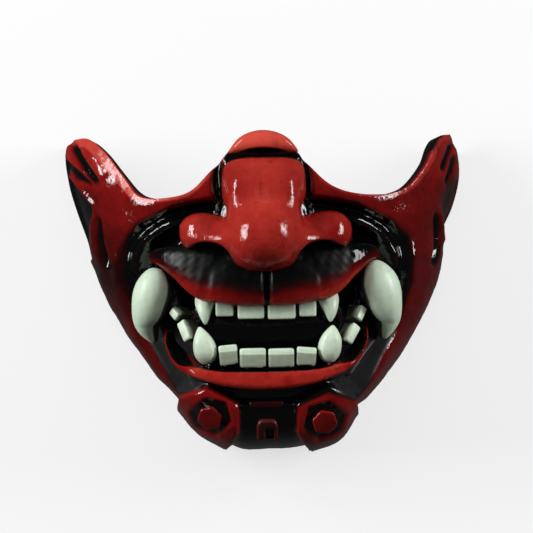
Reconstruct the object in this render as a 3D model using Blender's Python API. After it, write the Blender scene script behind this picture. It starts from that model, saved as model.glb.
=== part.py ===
"""Oni half mask: a hollow, painted half mask with a broad nose, tusks and two rows of teeth.

The mask lies on its rear rim. +Z runs out of the face, +Y towards the brow and +X to the
right as one looks at it. The origin is in the middle of the rim's plane. Left and right
are as one looks at the mask.

The plain form is a dome over the outline of the jaw. Folds, hollows and plates are then
laid on it, in a direction square to the form. Lengths in the tables are shares of the
sizes named at the top: across of HALF_WIDTH, up of HALF_HEIGHT, out of FORM_DEPTH, and
heights above the form of FOLD.
"""
import math
from typing import NamedTuple

import bmesh
import bpy
import numpy as np
from mathutils import Matrix, Vector

MM = 0.001

# Sizes of the whole mask
HALF_WIDTH = 98 * MM
HALF_HEIGHT = 78 * MM
FORM_DEPTH = 62 * MM
WALL = 4 * MM
FOLD = 10 * MM
GAP = 0.3 * MM

# Sizes of the small parts of the chin
BOSS_RADIUS = 6.8 * MM
BOSS_RISE = 3.4 * MM
POCKET_RADIUS = 9.4 * MM
POCKET_DEPTH = 2.6 * MM
BAR_WIDTH = 18 * MM
BAR_HEIGHT = 4 * MM
ARCH_WIDTH = 11.6 * MM
ARCH_HEIGHT = 12.6 * MM
ARCH_NOTCH = 3.8 * MM
TRIM_STAND = 3 * MM

# Shapes of the small parts, as shares of their own sizes, and how far they turn to the front
BOSS_TAPER = 0.90
BOSS_FACING = 0.9
ARCH_FACING = 0.5
BAR_TAPER_ACROSS = 0.86
BAR_TAPER_UP = 0.6
ARCH_ROUNDING = 0.36
NOTCH_CLIMB = 0.6
NOTCH_ROUNDING = 0.3
NOTCH_ASIDE = 0.3
NOTCH_BELOW = 0.08

# How folds fade out at the rear rim and at the ends of their paths
RIM_FADE = 6 * MM
END_FADE = 4.0
END_START = 0.35
INNER_REACH = 5 * MM
SEAT_DROP = 20 * MM

# How finely the surfaces are divided and measured
COLUMNS = 60
ROWS = 37
PROFILE_STEPS = 160
FOLD_STEPS = 4
SLOPE_STEP = 0.0005
ALONG_STEP = 0.01
HALVINGS = 24
FLAT_ROW = 1e-6
SHARP_ANGLE = 40.0
# The exact solver can lose a small piece that is cut twice, and this one doesn't
TWO_CUTS_SOLVER = "MANIFOLD"

# The dome's centre, as a share of HALF_HEIGHT, and how round its front is
CENTRE_UP = 0.282
FRONT_ROUNDNESS = 1.8


class Reach(NamedTuple):
    """How far the outline of the form lies from its centre, and how boxy the dome is there."""
    elevation: float
    left: float
    right: float
    boxiness: float


REACH = (
    Reach(-90, 1.270, 1.270, 13.0),
    Reach(-84, 1.275, 1.272, 12.5),
    Reach(-79, 1.226, 1.257, 14.0),
    Reach(-74, 1.180, 1.232, 13.5),
    Reach(-68, 1.092, 1.123, 12.0),
    Reach(-62, 1.015, 1.080, 9.0),
    Reach(-54, 0.940, 1.002, 5.8),
    Reach(-46, 0.891, 0.958, 4.0),
    Reach(-38, 0.868, 0.922, 3.0),
    Reach(-28, 0.845, 0.900, 2.7),
    Reach(-15, 0.863, 0.903, 2.4),
    Reach(-5, 0.877, 0.905, 2.3),
    Reach(5, 0.905, 0.904, 2.3),
    Reach(15, 0.983, 0.998, 2.2),
    Reach(25, 1.096, 1.104, 2.2),
    Reach(33, 1.196, 1.174, 2.2),
    Reach(45, 1.265, 1.255, 2.4),
    Reach(60, 1.330, 1.330, 2.7),
    Reach(90, 1.400, 1.400, 3.0),
)

# Where the jaw's outline ends at each wing, as an elevation about the form's centre
WING_END_LEFT = 34.2
WING_END_RIGHT = 31.2


class Edge(NamedTuple):
    """One place on the mask's upper edge."""
    across: float
    up: float


TOP_LEFT = (
    Edge(0.000, 0.985),
    Edge(-0.110, 0.948),
    Edge(-0.176, 0.852),
    Edge(-0.258, 0.744),
    Edge(-0.338, 0.638),
    Edge(-0.416, 0.598),
    Edge(-0.537, 0.592),
    Edge(-0.617, 0.632),
    Edge(-0.697, 0.756),
    Edge(-0.780, 0.894),
    Edge(-0.863, 0.986),
    Edge(-0.950, 0.996),
)
TOP_RIGHT = (
    Edge(0.000, 0.985),
    Edge(0.110, 0.948),
    Edge(0.172, 0.852),
    Edge(0.285, 0.691),
    Edge(0.361, 0.626),
    Edge(0.441, 0.597),
    Edge(0.520, 0.588),
    Edge(0.610, 0.598),
    Edge(0.702, 0.645),
    Edge(0.795, 0.782),
    Edge(0.834, 0.895),
    Edge(0.874, 0.960),
    Edge(0.950, 0.988),
)


class Fold(NamedTuple):
    """A ridge, or a groove if its height is negative, along a path of places."""
    name: str
    half_width: float
    height: float
    both_sides: bool
    path: tuple


FOLDS = (
    Fold("eye_groove", 0.026, -0.22, True, (
        (0.214, 0.560), (0.367, 0.526), (0.490, 0.486), (0.600, 0.410))),
    Fold("brow_edge", 0.040, 0.12, True, (
        (0.240, 0.660), (0.416, 0.590), (0.560, 0.570), (0.680, 0.640))),
    Fold("bridge_groove", 0.024, -0.25, True, (
        (0.202, 0.830), (0.206, 0.690), (0.212, 0.560))),
    Fold("middle_fold", 0.046, 0.52, True, (
        (0.370, 0.440), (0.490, 0.418), (0.590, 0.330), (0.640, 0.225), (0.652, 0.100))),
    Fold("lower_ridge", 0.020, 0.42, True, (
        (0.545, -0.200), (0.505, -0.300), (0.452, -0.400), (0.370, -0.540))),
    Fold("cheek_swell", 0.120, 0.28, True, (
        (0.330, 0.560), (0.560, 0.510), (0.740, 0.400), (0.800, 0.150))),
    Fold("jaw_swell", 0.070, 0.20, True, (
        (0.790, 0.020), (0.720, -0.200), (0.620, -0.400), (0.500, -0.600))),
    Fold("upper_gum", 0.060, 0.55, True, (
        (-0.200, -0.070), (0.000, -0.085), (0.200, -0.070), (0.350, -0.030))),
    Fold("lower_gum", 0.060, 0.60, True, (
        (-0.200, -0.390), (0.000, -0.400), (0.200, -0.390), (0.320, -0.340), (0.420, -0.220),
        (0.460, -0.070))),
    Fold("wing_slot_1", 0.026, -0.28, False, (
        (-0.951, 0.963), (-0.904, 0.862), (-0.850, 0.774), (-0.808, 0.705))),
    Fold("wing_slot_2", 0.024, -0.24, False, (
        (-0.995, 0.855), (-0.950, 0.800), (-0.892, 0.690))),
    Fold("wing_ridge", 0.022, 0.15, False, (
        (-0.980, 0.801), (-0.913, 0.699), (-0.847, 0.577))),
    Fold("wing_hollow", 0.052, -0.26, False, (
        (-0.960, 0.720), (-0.900, 0.600), (-0.870, 0.490), (-0.850, 0.359))),
    Fold("wing_bulge", 0.030, 0.16, False, (
        (-0.830, 0.530), (-0.830, 0.436), (-0.826, 0.346), (-0.810, 0.250))),
    Fold("wing_groove", 0.022, -0.24, False, (
        (-0.827, 0.468), (-0.791, 0.346), (-0.771, 0.210))),
    Fold("wing_slot_3", 0.024, -0.26, False, (
        (0.954, 0.904), (0.928, 0.829), (0.906, 0.763))),
    Fold("wing_slot_4", 0.022, -0.22, False, (
        (0.985, 0.846), (0.965, 0.760), (0.939, 0.699))),
    Fold("wing_shade", 0.045, -0.16, False, (
        (0.929, 0.667), (0.908, 0.538), (0.888, 0.410))),
    Fold("wing_knob", 0.034, 0.20, False, (
        (0.886, 0.474), (0.886, 0.378), (0.876, 0.276))),
    Fold("wing_crease", 0.020, -0.26, False, (
        (0.859, 0.410), (0.849, 0.308), (0.845, 0.212))),
)


class Field(NamedTuple):
    """A flat part inside a closed outline, raised or sunk, with a soft step round it."""
    name: str
    height: float
    softness: float
    mirrored: bool
    outline: tuple


MOUTH = Field("mouth", -1.20, 0.080, False, (
    (0.000, -0.020), (0.200, -0.015), (0.337, 0.020), (0.418, 0.120), (0.545, 0.200),
    (0.590, -0.040), (0.500, -0.235), (0.430, -0.375), (0.340, -0.460), (0.000, -0.490),
    (-0.340, -0.460), (-0.430, -0.375), (-0.500, -0.235), (-0.590, -0.040),
    (-0.545, 0.200), (-0.418, 0.120), (-0.337, 0.020), (-0.200, -0.015)))
CHEEK = Field("cheek", -0.55, 0.070, True, (
    (0.214, 0.577), (0.429, 0.526), (0.600, 0.425), (0.690, 0.282), (0.700, 0.077),
    (0.660, -0.077), (0.610, -0.256), (0.540, -0.410), (0.455, -0.590), (0.370, -0.545),
    (0.400, -0.449), (0.510, -0.282), (0.550, -0.103), (0.500, 0.150), (0.408, 0.300),
    (0.245, 0.380)))
CHIN_PLATE = Field("chin_plate", 0.40, 0.025, True, (
    (0.410, -0.613), (0.282, -0.551), (0.137, -0.656), (0.135, -0.821), (0.224, -1.020),
    (0.347, -1.020), (0.449, -0.800)))
LIP_VALLEY = Field("lip_valley", -0.30, 0.050, False, (
    (-0.360, -0.530), (-0.280, -0.550), (-0.130, -0.655), (0.130, -0.655), (0.280, -0.550),
    (0.360, -0.530), (0.200, -0.560), (-0.200, -0.560)))
FIELDS = (MOUTH, CHEEK, CHIN_PLATE, LIP_VALLEY)
NOSE_CORE = Field("nose_core", 0.85, 0.160, False, (
    (-0.100, 0.700), (0.100, 0.700), (0.150, 0.420), (0.260, 0.330), (0.180, 0.260),
    (-0.180, 0.260), (-0.260, 0.330), (-0.150, 0.420)))


class Lump(NamedTuple):
    """One egg shape of the nose: its centre, its half sizes and how boxy it is."""
    name: str
    across: float
    up: float
    out: float
    half_across: float
    half_up: float
    half_out: float
    boxiness: float


NOSE_LUMPS = (
    Lump("bridge_top", 0.004, 0.677, 0.927, 0.198, 0.146, 0.282, 4.2),
    Lump("bridge_middle", 0.000, 0.526, 1.016, 0.174, 0.218, 0.339, 4.8),
    Lump("ball", 0.000, 0.341, 1.100, 0.190, 0.213, 0.419, 2.3),
    Lump("side_left", -0.298, 0.377, 0.981, 0.112, 0.121, 0.219, 2.3),
    Lump("side_right", 0.306, 0.369, 0.981, 0.118, 0.126, 0.219, 2.3),
    Lump("root_left", -0.190, 0.320, 1.040, 0.129, 0.090, 0.240, 2.0),
    Lump("root_right", 0.190, 0.310, 1.040, 0.129, 0.090, 0.240, 2.0),
)
NOSTRILS = (
    Lump("nostril_left", -0.267, 0.177, 1.065, 0.112, 0.136, 0.387, 2.2),
    Lump("nostril_right", 0.267, 0.171, 1.065, 0.114, 0.141, 0.387, 2.2),
)
# Where the nose is grown from, and how far it can reach from there
NOSE_MIDDLE = (0.000, 0.400, 0.960)
NOSE_REACH = 0.700
LUMP_BLEND = 0.051
NOSTRIL_BLEND = 0.020


class Station(NamedTuple):
    """One section of a drawn-out ball: its place, its height above the form, its half sizes."""
    across: float
    up: float
    stand: float
    half_width: float
    half_depth: float


class Drawn(NamedTuple):
    """A ball drawn out along its stations, with how blunt its ends and sections are."""
    name: str
    finish: str
    sides: int
    rings: int
    end_blunt: float
    section_blunt: float
    stations: tuple


def mirror_image(station):
    """The station's mirror image, for a piece that is alike on both sides."""
    return station._replace(across=-station.across)


UPPER_LIP_HALF = (
    Station(0.562, 0.238, -0.20, 0.040, 0.42),
    Station(0.500, 0.244, 0.05, 0.054, 0.58),
    Station(0.400, 0.205, 0.15, 0.094, 0.75),
    Station(0.270, 0.140, 0.20, 0.142, 0.85),
    Station(0.120, 0.085, 0.25, 0.125, 0.90),
)
UPPER_LIP_MIDDLE = Station(0.000, 0.075, 0.25, 0.118, 0.90)
LOWER_LIP_HALF = (
    Station(0.505, -0.215, -0.30, 0.013, 0.50),
    Station(0.470, -0.316, -0.20, 0.015, 0.56),
    Station(0.396, -0.424, -0.10, 0.019, 0.62),
    Station(0.250, -0.496, 0.00, 0.034, 0.76),
    Station(0.120, -0.518, 0.05, 0.044, 0.84),
)
LOWER_LIP_MIDDLE = Station(0.000, -0.523, 0.05, 0.047, 0.85)

UPPER_LIP = Drawn("upper_lip", "red", 14, 20, 3.0, 2.3, tuple(
    [mirror_image(s) for s in UPPER_LIP_HALF] + [UPPER_LIP_MIDDLE] + list(reversed(UPPER_LIP_HALF))))
LOWER_LIP = Drawn("lower_lip", "red", 10, 22, 3.0, 2.3, tuple(
    [mirror_image(s) for s in LOWER_LIP_HALF] + [LOWER_LIP_MIDDLE] + list(reversed(LOWER_LIP_HALF))))
BRIDGE_CAP = Drawn("bridge_cap", "red", 12, 8, 2.6, 2.2, (
    Station(-0.160, 0.862, -0.10, 0.016, 0.40),
    Station(-0.088, 0.904, 0.05, 0.044, 0.55),
    Station(0.002, 0.919, 0.10, 0.054, 0.60),
    Station(0.094, 0.902, 0.05, 0.044, 0.55),
    Station(0.170, 0.861, -0.10, 0.016, 0.40),
))
TUSK_LEFT = Drawn("tusk_left", "tooth", 12, 11, 3.2, 2.1, (
    Station(-0.522, 0.165, -0.05, 0.066, 0.70),
    Station(-0.530, 0.060, 0.20, 0.092, 0.90),
    Station(-0.546, -0.050, 0.30, 0.086, 0.90),
    Station(-0.556, -0.160, 0.30, 0.058, 0.70),
    Station(-0.538, -0.285, 0.10, 0.018, 0.35),
))
TUSK_RIGHT = Drawn("tusk_right", "tooth", 12, 11, 3.2, 2.1, (
    Station(0.520, 0.184, -0.05, 0.062, 0.70),
    Station(0.540, 0.070, 0.20, 0.094, 0.90),
    Station(0.557, -0.040, 0.30, 0.090, 0.90),
    Station(0.571, -0.155, 0.30, 0.062, 0.70),
    Station(0.560, -0.288, 0.10, 0.026, 0.40),
))
FANGS = (
    Drawn("upper_canine_left", "tooth", 8, 7, 2.4, 2.3, (
        Station(-0.300, 0.060, -0.60, 0.048, 0.55),
        Station(-0.302, -0.030, -0.35, 0.054, 0.50),
        Station(-0.297, -0.110, -0.15, 0.034, 0.40),
        Station(-0.294, -0.182, -0.10, 0.016, 0.25),
    )),
    Drawn("upper_canine_right", "tooth", 8, 7, 2.4, 2.3, (
        Station(0.312, 0.060, -0.60, 0.048, 0.55),
        Station(0.312, -0.030, -0.35, 0.055, 0.50),
        Station(0.314, -0.110, -0.15, 0.036, 0.40),
        Station(0.313, -0.180, -0.10, 0.018, 0.25),
    )),
    Drawn("lower_canine_left", "tooth", 8, 8, 2.6, 2.3, (
        Station(-0.292, -0.426, -0.40, 0.052, 0.50),
        Station(-0.298, -0.350, -0.30, 0.058, 0.55),
        Station(-0.310, -0.270, -0.15, 0.048, 0.45),
        Station(-0.324, -0.192, -0.10, 0.020, 0.28),
    )),
    Drawn("lower_canine_right", "tooth", 8, 8, 2.6, 2.3, (
        Station(0.302, -0.430, -0.40, 0.052, 0.50),
        Station(0.306, -0.350, -0.30, 0.058, 0.55),
        Station(0.316, -0.270, -0.15, 0.050, 0.45),
        Station(0.326, -0.198, -0.10, 0.022, 0.28),
    )),
)


class Flat(NamedTuple):
    """A flat tooth: its two ends, its height above the form and its half sizes."""
    name: str
    across: float
    up_root: float
    up_edge: float
    stand: float
    half_width: float
    half_depth: float
    lean: float


# How a flat tooth is divided, and how blunt its ends and sections are
TOOTH_SIDES = 8
TOOTH_RINGS = 5
TOOTH_END_BLUNT = 6.0
TOOTH_SECTION_BLUNT = 5.0

FLAT_TEETH = (
    Flat("upper_incisor_1", -0.198, 0.010, -0.134, -0.30, 0.044, 0.48, 0.000),
    Flat("upper_incisor_2", -0.071, -0.005, -0.152, -0.22, 0.064, 0.50, 0.000),
    Flat("upper_incisor_3", 0.077, -0.005, -0.158, -0.22, 0.067, 0.50, 0.000),
    Flat("upper_incisor_4", 0.202, 0.010, -0.145, -0.30, 0.042, 0.48, 0.000),
    Flat("lower_incisor_1", -0.184, -0.428, -0.306, -0.28, 0.045, 0.48, -0.004),
    Flat("lower_incisor_2", -0.066, -0.446, -0.328, -0.22, 0.063, 0.50, 0.000),
    Flat("lower_incisor_3", 0.070, -0.448, -0.332, -0.22, 0.062, 0.50, 0.000),
    Flat("lower_incisor_4", 0.191, -0.440, -0.328, -0.28, 0.048, 0.48, 0.004),
    Flat("lower_premolar_left_1", -0.394, -0.274, -0.160, -0.35, 0.026, 0.46, -0.018),
    Flat("lower_premolar_left_2", -0.442, -0.138, -0.090, -0.50, 0.021, 0.60, -0.016),
    Flat("lower_premolar_right_1", 0.415, -0.306, -0.203, -0.35, 0.025, 0.46, 0.024),
    Flat("lower_premolar_right_2", 0.462, -0.170, -0.092, -0.50, 0.020, 0.60, 0.015),
)


class Spot(NamedTuple):
    """A place for a small part of the chin, and how far it is turned in its plane."""
    name: str
    across: float
    up: float
    turn: float


BOSSES = (
    Spot("left", -0.263, -0.723, 14.0),
    Spot("right", 0.263, -0.759, -14.0),
)
BAR = Spot("chin_bar", -0.006, -0.664, 0.0)
ARCH = Spot("chin_arch", -0.003, -0.818, 0.0)


class Finish(NamedTuple):
    """A paint's colour, and how rough and metallic it is."""
    colour: tuple
    roughness: float
    metallic: float


FINISHES = {
    "red": Finish((0.45, 0.012, 0.012, 1.0), 0.28, 0.0),
    "dark": Finish((0.012, 0.014, 0.014, 1.0), 0.30, 0.0),
    "tooth": Finish((0.62, 0.68, 0.60, 1.0), 0.42, 0.0),
}

ELEVATIONS = [row.elevation for row in REACH]
REACH_LEFT = [row.left for row in REACH]
REACH_RIGHT = [row.right for row in REACH]
BOXINESS = [row.boxiness for row in REACH]


def smooth_step(value):
    """A soft step from 0 to 1."""
    value = np.clip(value, 0.0, 1.0)
    return value * value * (3.0 - 2.0 * value)


def flow(keys, values, at):
    """A smooth curve through the rows of a table, read at the given keys."""
    keys = np.asarray(keys, dtype=float)
    values = np.asarray(values, dtype=float)
    slopes = np.gradient(values, keys, axis=0)
    at = np.clip(at, keys[0], keys[-1])
    cell = np.clip(np.searchsorted(keys, at, side="right") - 1, 0, len(keys) - 2)
    run = keys[cell + 1] - keys[cell]
    f = (at - keys[cell]) / run
    if values.ndim > 1:
        f = f[..., None]
        run = run[..., None]
    start = (2 * f ** 3 - 3 * f ** 2 + 1) * values[cell]
    end = (3 * f ** 2 - 2 * f ** 3) * values[cell + 1]
    bend = (f ** 3 - 2 * f ** 2 + f) * slopes[cell] + (f ** 3 - f ** 2) * slopes[cell + 1]
    return start + end + bend * run


def form_level(x, y):
    """0 in the middle of the dome and 1 on its outline."""
    across = x / HALF_WIDTH
    up = y / HALF_HEIGHT - CENTRE_UP
    elevation = np.degrees(np.arctan2(up, np.abs(across)))
    left = flow(ELEVATIONS, REACH_LEFT, elevation)
    right = flow(ELEVATIONS, REACH_RIGHT, elevation)
    return (np.hypot(across, up) / np.where(x < 0, left, right)) ** flow(ELEVATIONS, BOXINESS, elevation)


def form_height(x, y):
    """The dome's height above the rear rim."""
    return FORM_DEPTH * np.clip(1.0 - form_level(x, y), 0.0, 1.0) ** (1.0 / FRONT_ROUNDNESS)


def form_normal(x, y):
    """The direction square to the dome, out of the mask."""
    step = SLOPE_STEP * HALF_WIDTH
    slope_x = (form_level(x + step, y) - form_level(x - step, y)) / (2 * step)
    slope_y = (form_level(x, y + step) - form_level(x, y - step)) / (2 * step)
    rise = (form_height(x, y) / FORM_DEPTH) ** (FRONT_ROUNDNESS - 1.0)
    normal = np.stack([slope_x, slope_y, FRONT_ROUNDNESS * rise / FORM_DEPTH], axis=-1)
    return normal / np.linalg.norm(normal, axis=-1, keepdims=True)


def spots(places):
    """Places in shares as lengths across and up."""
    return np.asarray(places, dtype=float) * (HALF_WIDTH, HALF_HEIGHT)


def nearest_on(x, y, start, end):
    """The distance to a straight run between two places, and how far along it lies."""
    run = end - start
    along = ((x - start[0]) * run[0] + (y - start[1]) * run[1]) / (run @ run)
    along = np.clip(along, 0.0, 1.0)
    return np.hypot(x - start[0] - along * run[0], y - start[1] - along * run[1]), along


def fold_height(fold, x, y):
    """The height of one fold, which fades out at both ends of its path."""
    path = spots(fold.path)
    keys = np.linspace(0.0, 1.0, len(path))
    smooth = flow(keys, path, np.linspace(0.0, 1.0, FOLD_STEPS * len(path)))
    best = np.full(np.shape(x), math.inf)
    share = np.zeros(np.shape(x))
    for index in range(len(smooth) - 1):
        distance, along = nearest_on(x, y, smooth[index], smooth[index + 1])
        closer = distance < best
        share = np.where(closer, (index + along) / (len(smooth) - 1), share)
        best = np.minimum(best, distance)
    ends = smooth_step(END_FADE * share + END_START) * smooth_step(END_FADE * (1.0 - share) + END_START)
    return fold.height * FOLD * ends * np.exp(-(best / (fold.half_width * HALF_WIDTH)) ** 2)


def field_height(field, x, y):
    """The height of one raised or sunk field, with its soft step."""
    outline = spots(field.outline)
    edge = np.full(np.shape(x), math.inf)
    inside = np.zeros(np.shape(x), dtype=bool)
    for start, end in zip(outline, np.roll(outline, -1, axis=0)):
        edge = np.minimum(edge, nearest_on(x, y, start, end)[0])
        crosses = (start[1] > y) != (end[1] > y)
        run = np.where(end[1] == start[1], 1.0, end[1] - start[1])
        inside ^= crosses & (x < start[0] + (y - start[1]) * (end[0] - start[0]) / run)
    depth = np.where(inside, edge, -edge) / (field.softness * HALF_WIDTH)
    return field.height * FOLD * smooth_step(depth + 0.5)


def relief(x, y):
    """The height of all folds and fields above the plain form."""
    total = np.zeros(np.shape(x))
    for field in FIELDS:
        total += field_height(field, x, y)
        if field.mirrored:
            total += field_height(field, -x, y)
    for fold in FOLDS:
        place = np.abs(x) if fold.both_sides else x
        total += fold_height(fold, place, y)
    return total


def wall_depth(x, y):
    """How far the inner wall sinks below the form, so that no hollow thins the wall."""
    turns = np.linspace(0.0, 2.0 * math.pi, 8, endpoint=False)
    lowest = np.minimum(relief(x, y), 0.0)
    for turn in turns:
        beside = relief(x + INNER_REACH * math.cos(turn), y + INNER_REACH * math.sin(turn))
        lowest = np.minimum(lowest, beside)
    return lowest


def on_form(x, y, height):
    """Points at a height above the plain form, square to it."""
    base = np.stack([x, y, form_height(x, y)], axis=-1)
    return base + form_normal(x, y) * np.asarray(height)[..., None]


def outer_points(x, y, grow=0.0):
    """Points of the mask's outer face, moved outwards by grow."""
    fade = smooth_step(form_height(x, y) / RIM_FADE)
    return on_form(x, y, fade * (relief(x, y) + field_height(NOSE_CORE, x, y)) + grow)


def inner_points(x, y):
    """Points of the wall's inner face."""
    fade = smooth_step(form_height(x, y) / RIM_FADE)
    return on_form(x, y, fade * (wall_depth(x, y) + field_height(NOSE_CORE, x, y)) - WALL)


def along_edge(points, share):
    """The places at shares of the length of a line of points."""
    steps = np.linalg.norm(np.diff(points, axis=0), axis=1)
    length = np.concatenate([[0.0], np.cumsum(steps)])
    at = share * length[-1]
    return np.stack([np.interp(at, length, points[:, 0]), np.interp(at, length, points[:, 1])], axis=-1)


def jaw_edge(share):
    """The jaw's outline: -1 at the left wing, 0 under the chin and 1 at the right wing."""
    sides = []
    for sign, reach, end in ((-1, REACH_LEFT, WING_END_LEFT), (1, REACH_RIGHT, WING_END_RIGHT)):
        elevation = np.linspace(-90.0, end, PROFILE_STEPS)
        far = flow(ELEVATIONS, reach, elevation)
        across = sign * far * np.cos(np.radians(elevation))
        up = far * np.sin(np.radians(elevation)) + CENTRE_UP
        sides.append(along_edge(spots(np.stack([across, up], axis=-1)), np.abs(share)))
    return np.where((share < 0)[:, None], sides[0], sides[1])


def top_edge(share):
    """The upper edge: -1 at the left wing, 0 at the bridge and 1 at the right wing."""
    sides = []
    for rows in (TOP_LEFT, TOP_RIGHT):
        keys = np.linspace(0.0, 1.0, len(rows))
        line = flow(keys, spots(rows), np.linspace(0.0, 1.0, PROFILE_STEPS))
        sides.append(along_edge(line, np.abs(share)))
    return np.where((share < 0)[:, None], sides[0], sides[1])


def sheet_places(share, climb):
    """Where a grid over the mask lies in plan, with its rows evenly spaced up each column."""
    columns, column_of = np.unique(np.round(share, 6), return_inverse=True)
    column_of = column_of.reshape(-1)
    foot = jaw_edge(columns)
    head = top_edge(columns)
    steps = np.linspace(0.0, 1.0, PROFILE_STEPS) ** 2
    line = foot[:, None, :] + (head - foot)[:, None, :] * steps[None, :, None]
    height = form_height(line[..., 0], line[..., 1])
    run = np.sqrt(np.sum(np.diff(line, axis=1) ** 2, axis=2) + np.diff(height, axis=1) ** 2)
    length = np.concatenate([np.zeros((len(columns), 1)), np.cumsum(run, axis=1)], axis=1)
    length /= length[:, -1:]
    part = np.empty(len(share))
    for index in range(len(columns)):
        here = column_of == index
        part[here] = np.interp(climb[here], length[index], steps)
    place = foot[column_of] + (head - foot)[column_of] * part[:, None]
    return place[:, 0], place[:, 1]


def grid_of(columns, rows):
    """A flat grid, and where each of its points lies from -1 to 1 and from 0 to 1."""
    shape = bmesh.new()
    bmesh.ops.create_grid(shape, x_segments=columns, y_segments=rows, size=1.0)
    bmesh.ops.triangulate(shape, faces=shape.faces, quad_method="FIXED")
    flat = np.array([point.co[:] for point in shape.verts])
    return shape, flat[:, 0], (flat[:, 1] + 1.0) / 2.0


def move_to(shape, points):
    """Puts the points of a mesh where an array says."""
    for point, place in zip(shape.verts, points):
        point.co = place


def lay_sheet(shape, points, climb):
    """Puts the points of a sheet where an array says, with its lowest row flat on the rear rim."""
    points[climb < FLAT_ROW, 2] = 0.0
    move_to(shape, points)


def finish_object(name, shape, finish, collection):
    """Turns a mesh in work into a named, painted object."""
    bmesh.ops.recalc_face_normals(shape, faces=shape.faces)
    if shape.calc_volume(signed=True) < 0.0:
        bmesh.ops.reverse_faces(shape, faces=shape.faces)
    mesh = bpy.data.meshes.new(name)
    shape.to_mesh(mesh)
    shape.free()
    mesh.shade_smooth()
    mesh.set_sharp_from_angle(angle=math.radians(SHARP_ANGLE))
    mesh.materials.append(painted(name, finish))
    thing = bpy.data.objects.new(name, mesh)
    collection.objects.link(thing)
    return thing


def painted(name, finish):
    """The material of one piece."""
    paint = FINISHES[finish]
    material = bpy.data.materials.new(name + "_paint")
    material.use_nodes = True
    shader = material.node_tree.nodes["Principled BSDF"]
    shader.inputs["Base Color"].default_value = paint.colour
    shader.inputs["Roughness"].default_value = paint.roughness
    shader.inputs["Metallic"].default_value = paint.metallic
    return material


def cut_by(thing, cutter, solver="EXACT"):
    """Takes the space of the cutter away from a piece."""
    cut = thing.modifiers.new("cut_by_" + cutter.name, "BOOLEAN")
    cut.operation = "DIFFERENCE"
    cut.solver = solver
    cut.object = cutter


def as_cutter(thing):
    """Marks an object as a guide that isn't part of the mask."""
    thing.hide_render = True
    thing.display_type = "WIRE"
    return thing


def rim_edges(shape):
    """The open edges of a sheet."""
    return [edge for edge in shape.edges if edge.is_boundary]


def make_shell(collection):
    """The mask's wall: an outer and an inner sheet, joined by a flat rim."""
    shape, share, climb = grid_of(COLUMNS, ROWS)
    x, y = sheet_places(share, climb)
    lay_sheet(shape, outer_points(x, y), climb)
    inner, share, climb = grid_of(COLUMNS // 2, ROWS // 2)
    x, y = sheet_places(share, climb)
    lay_sheet(inner, inner_points(x, y), climb)
    spare = bpy.data.meshes.new("inner_wall")
    inner.to_mesh(spare)
    inner.free()
    shape.from_mesh(spare)
    bpy.data.meshes.remove(spare)
    bmesh.ops.bridge_loops(shape, edges=rim_edges(shape))
    bmesh.ops.triangulate(shape, faces=[face for face in shape.faces if len(face.verts) > 4])
    return finish_object("mask_shell", shape, "red", collection)


def make_seat(collection):
    """A guide that fills the mask up to just above its outer face, to seat the pieces on."""
    shape, share, climb = grid_of(COLUMNS, ROWS)
    x, y = sheet_places(share, climb)
    lay_sheet(shape, outer_points(x, y, GAP), climb)
    made = bmesh.ops.extrude_edge_only(shape, edges=rim_edges(shape))
    for item in made["geom"]:
        if isinstance(item, bmesh.types.BMVert):
            item.co.z = -SEAT_DROP
    bmesh.ops.holes_fill(shape, edges=rim_edges(shape))
    return as_cutter(finish_object("seat", shape, "dark", collection))


def make_drawn(drawn, collection, grow=0.0):
    """A ball drawn out along its stations: a lip, a tusk, a tooth or the cap."""
    shape = bmesh.new()
    bmesh.ops.create_uvsphere(shape, u_segments=drawn.sides, v_segments=drawn.rings, radius=1.0)
    ball = np.array([point.co[:] for point in shape.verts])
    polar = np.clip(ball[:, 2], -1.0, 1.0)
    turn = np.arctan2(ball[:, 1], ball[:, 0])
    rows = np.array(drawn.stations) * (HALF_WIDTH, HALF_HEIGHT, FOLD, HALF_WIDTH, FOLD)
    keys = np.linspace(0.0, 1.0, len(rows))
    at = (1.0 - polar) / 2.0
    row = flow(keys, rows, at)
    centre = on_form(row[:, 0], row[:, 1], row[:, 2])
    ahead = flow(keys, rows, np.clip(at + ALONG_STEP, 0.0, 1.0))
    behind = flow(keys, rows, np.clip(at - ALONG_STEP, 0.0, 1.0))
    along = on_form(*ahead[:, :3].T) - on_form(*behind[:, :3].T)
    along /= np.linalg.norm(along, axis=1, keepdims=True)
    out = form_normal(row[:, 0], row[:, 1])
    out -= along * np.sum(out * along, axis=1, keepdims=True)
    out /= np.linalg.norm(out, axis=1, keepdims=True)
    side = np.cross(along, out)
    spread = (1.0 - np.abs(polar) ** drawn.end_blunt) ** (1.0 / drawn.end_blunt)
    power = 2.0 / drawn.section_blunt
    ring_side = np.sign(np.cos(turn)) * np.abs(np.cos(turn)) ** power * spread
    ring_out = np.sign(np.sin(turn)) * np.abs(np.sin(turn)) ** power * spread
    points = centre + side * (ring_side * (row[:, 3] + grow))[:, None]
    points += out * (ring_out * (row[:, 4] + grow))[:, None]
    points -= along * (polar * grow)[:, None]
    move_to(shape, points)
    name = drawn.name if grow == 0.0 else drawn.name + "_room"
    return finish_object(name, shape, drawn.finish, collection)


def flat_tooth(tooth):
    """A flat tooth as a drawn-out ball with blunt ends and a boxy section."""
    stations = []
    for share in (0.0, 0.5, 1.0):
        across = tooth.across + tooth.lean * (share - 0.5) * 2.0
        up = tooth.up_root + (tooth.up_edge - tooth.up_root) * share
        stations.append(Station(across, up, tooth.stand, tooth.half_width, tooth.half_depth))
    return Drawn(
        tooth.name, "tooth", TOOTH_SIDES, TOOTH_RINGS, TOOTH_END_BLUNT, TOOTH_SECTION_BLUNT, tuple(stations))


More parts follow.
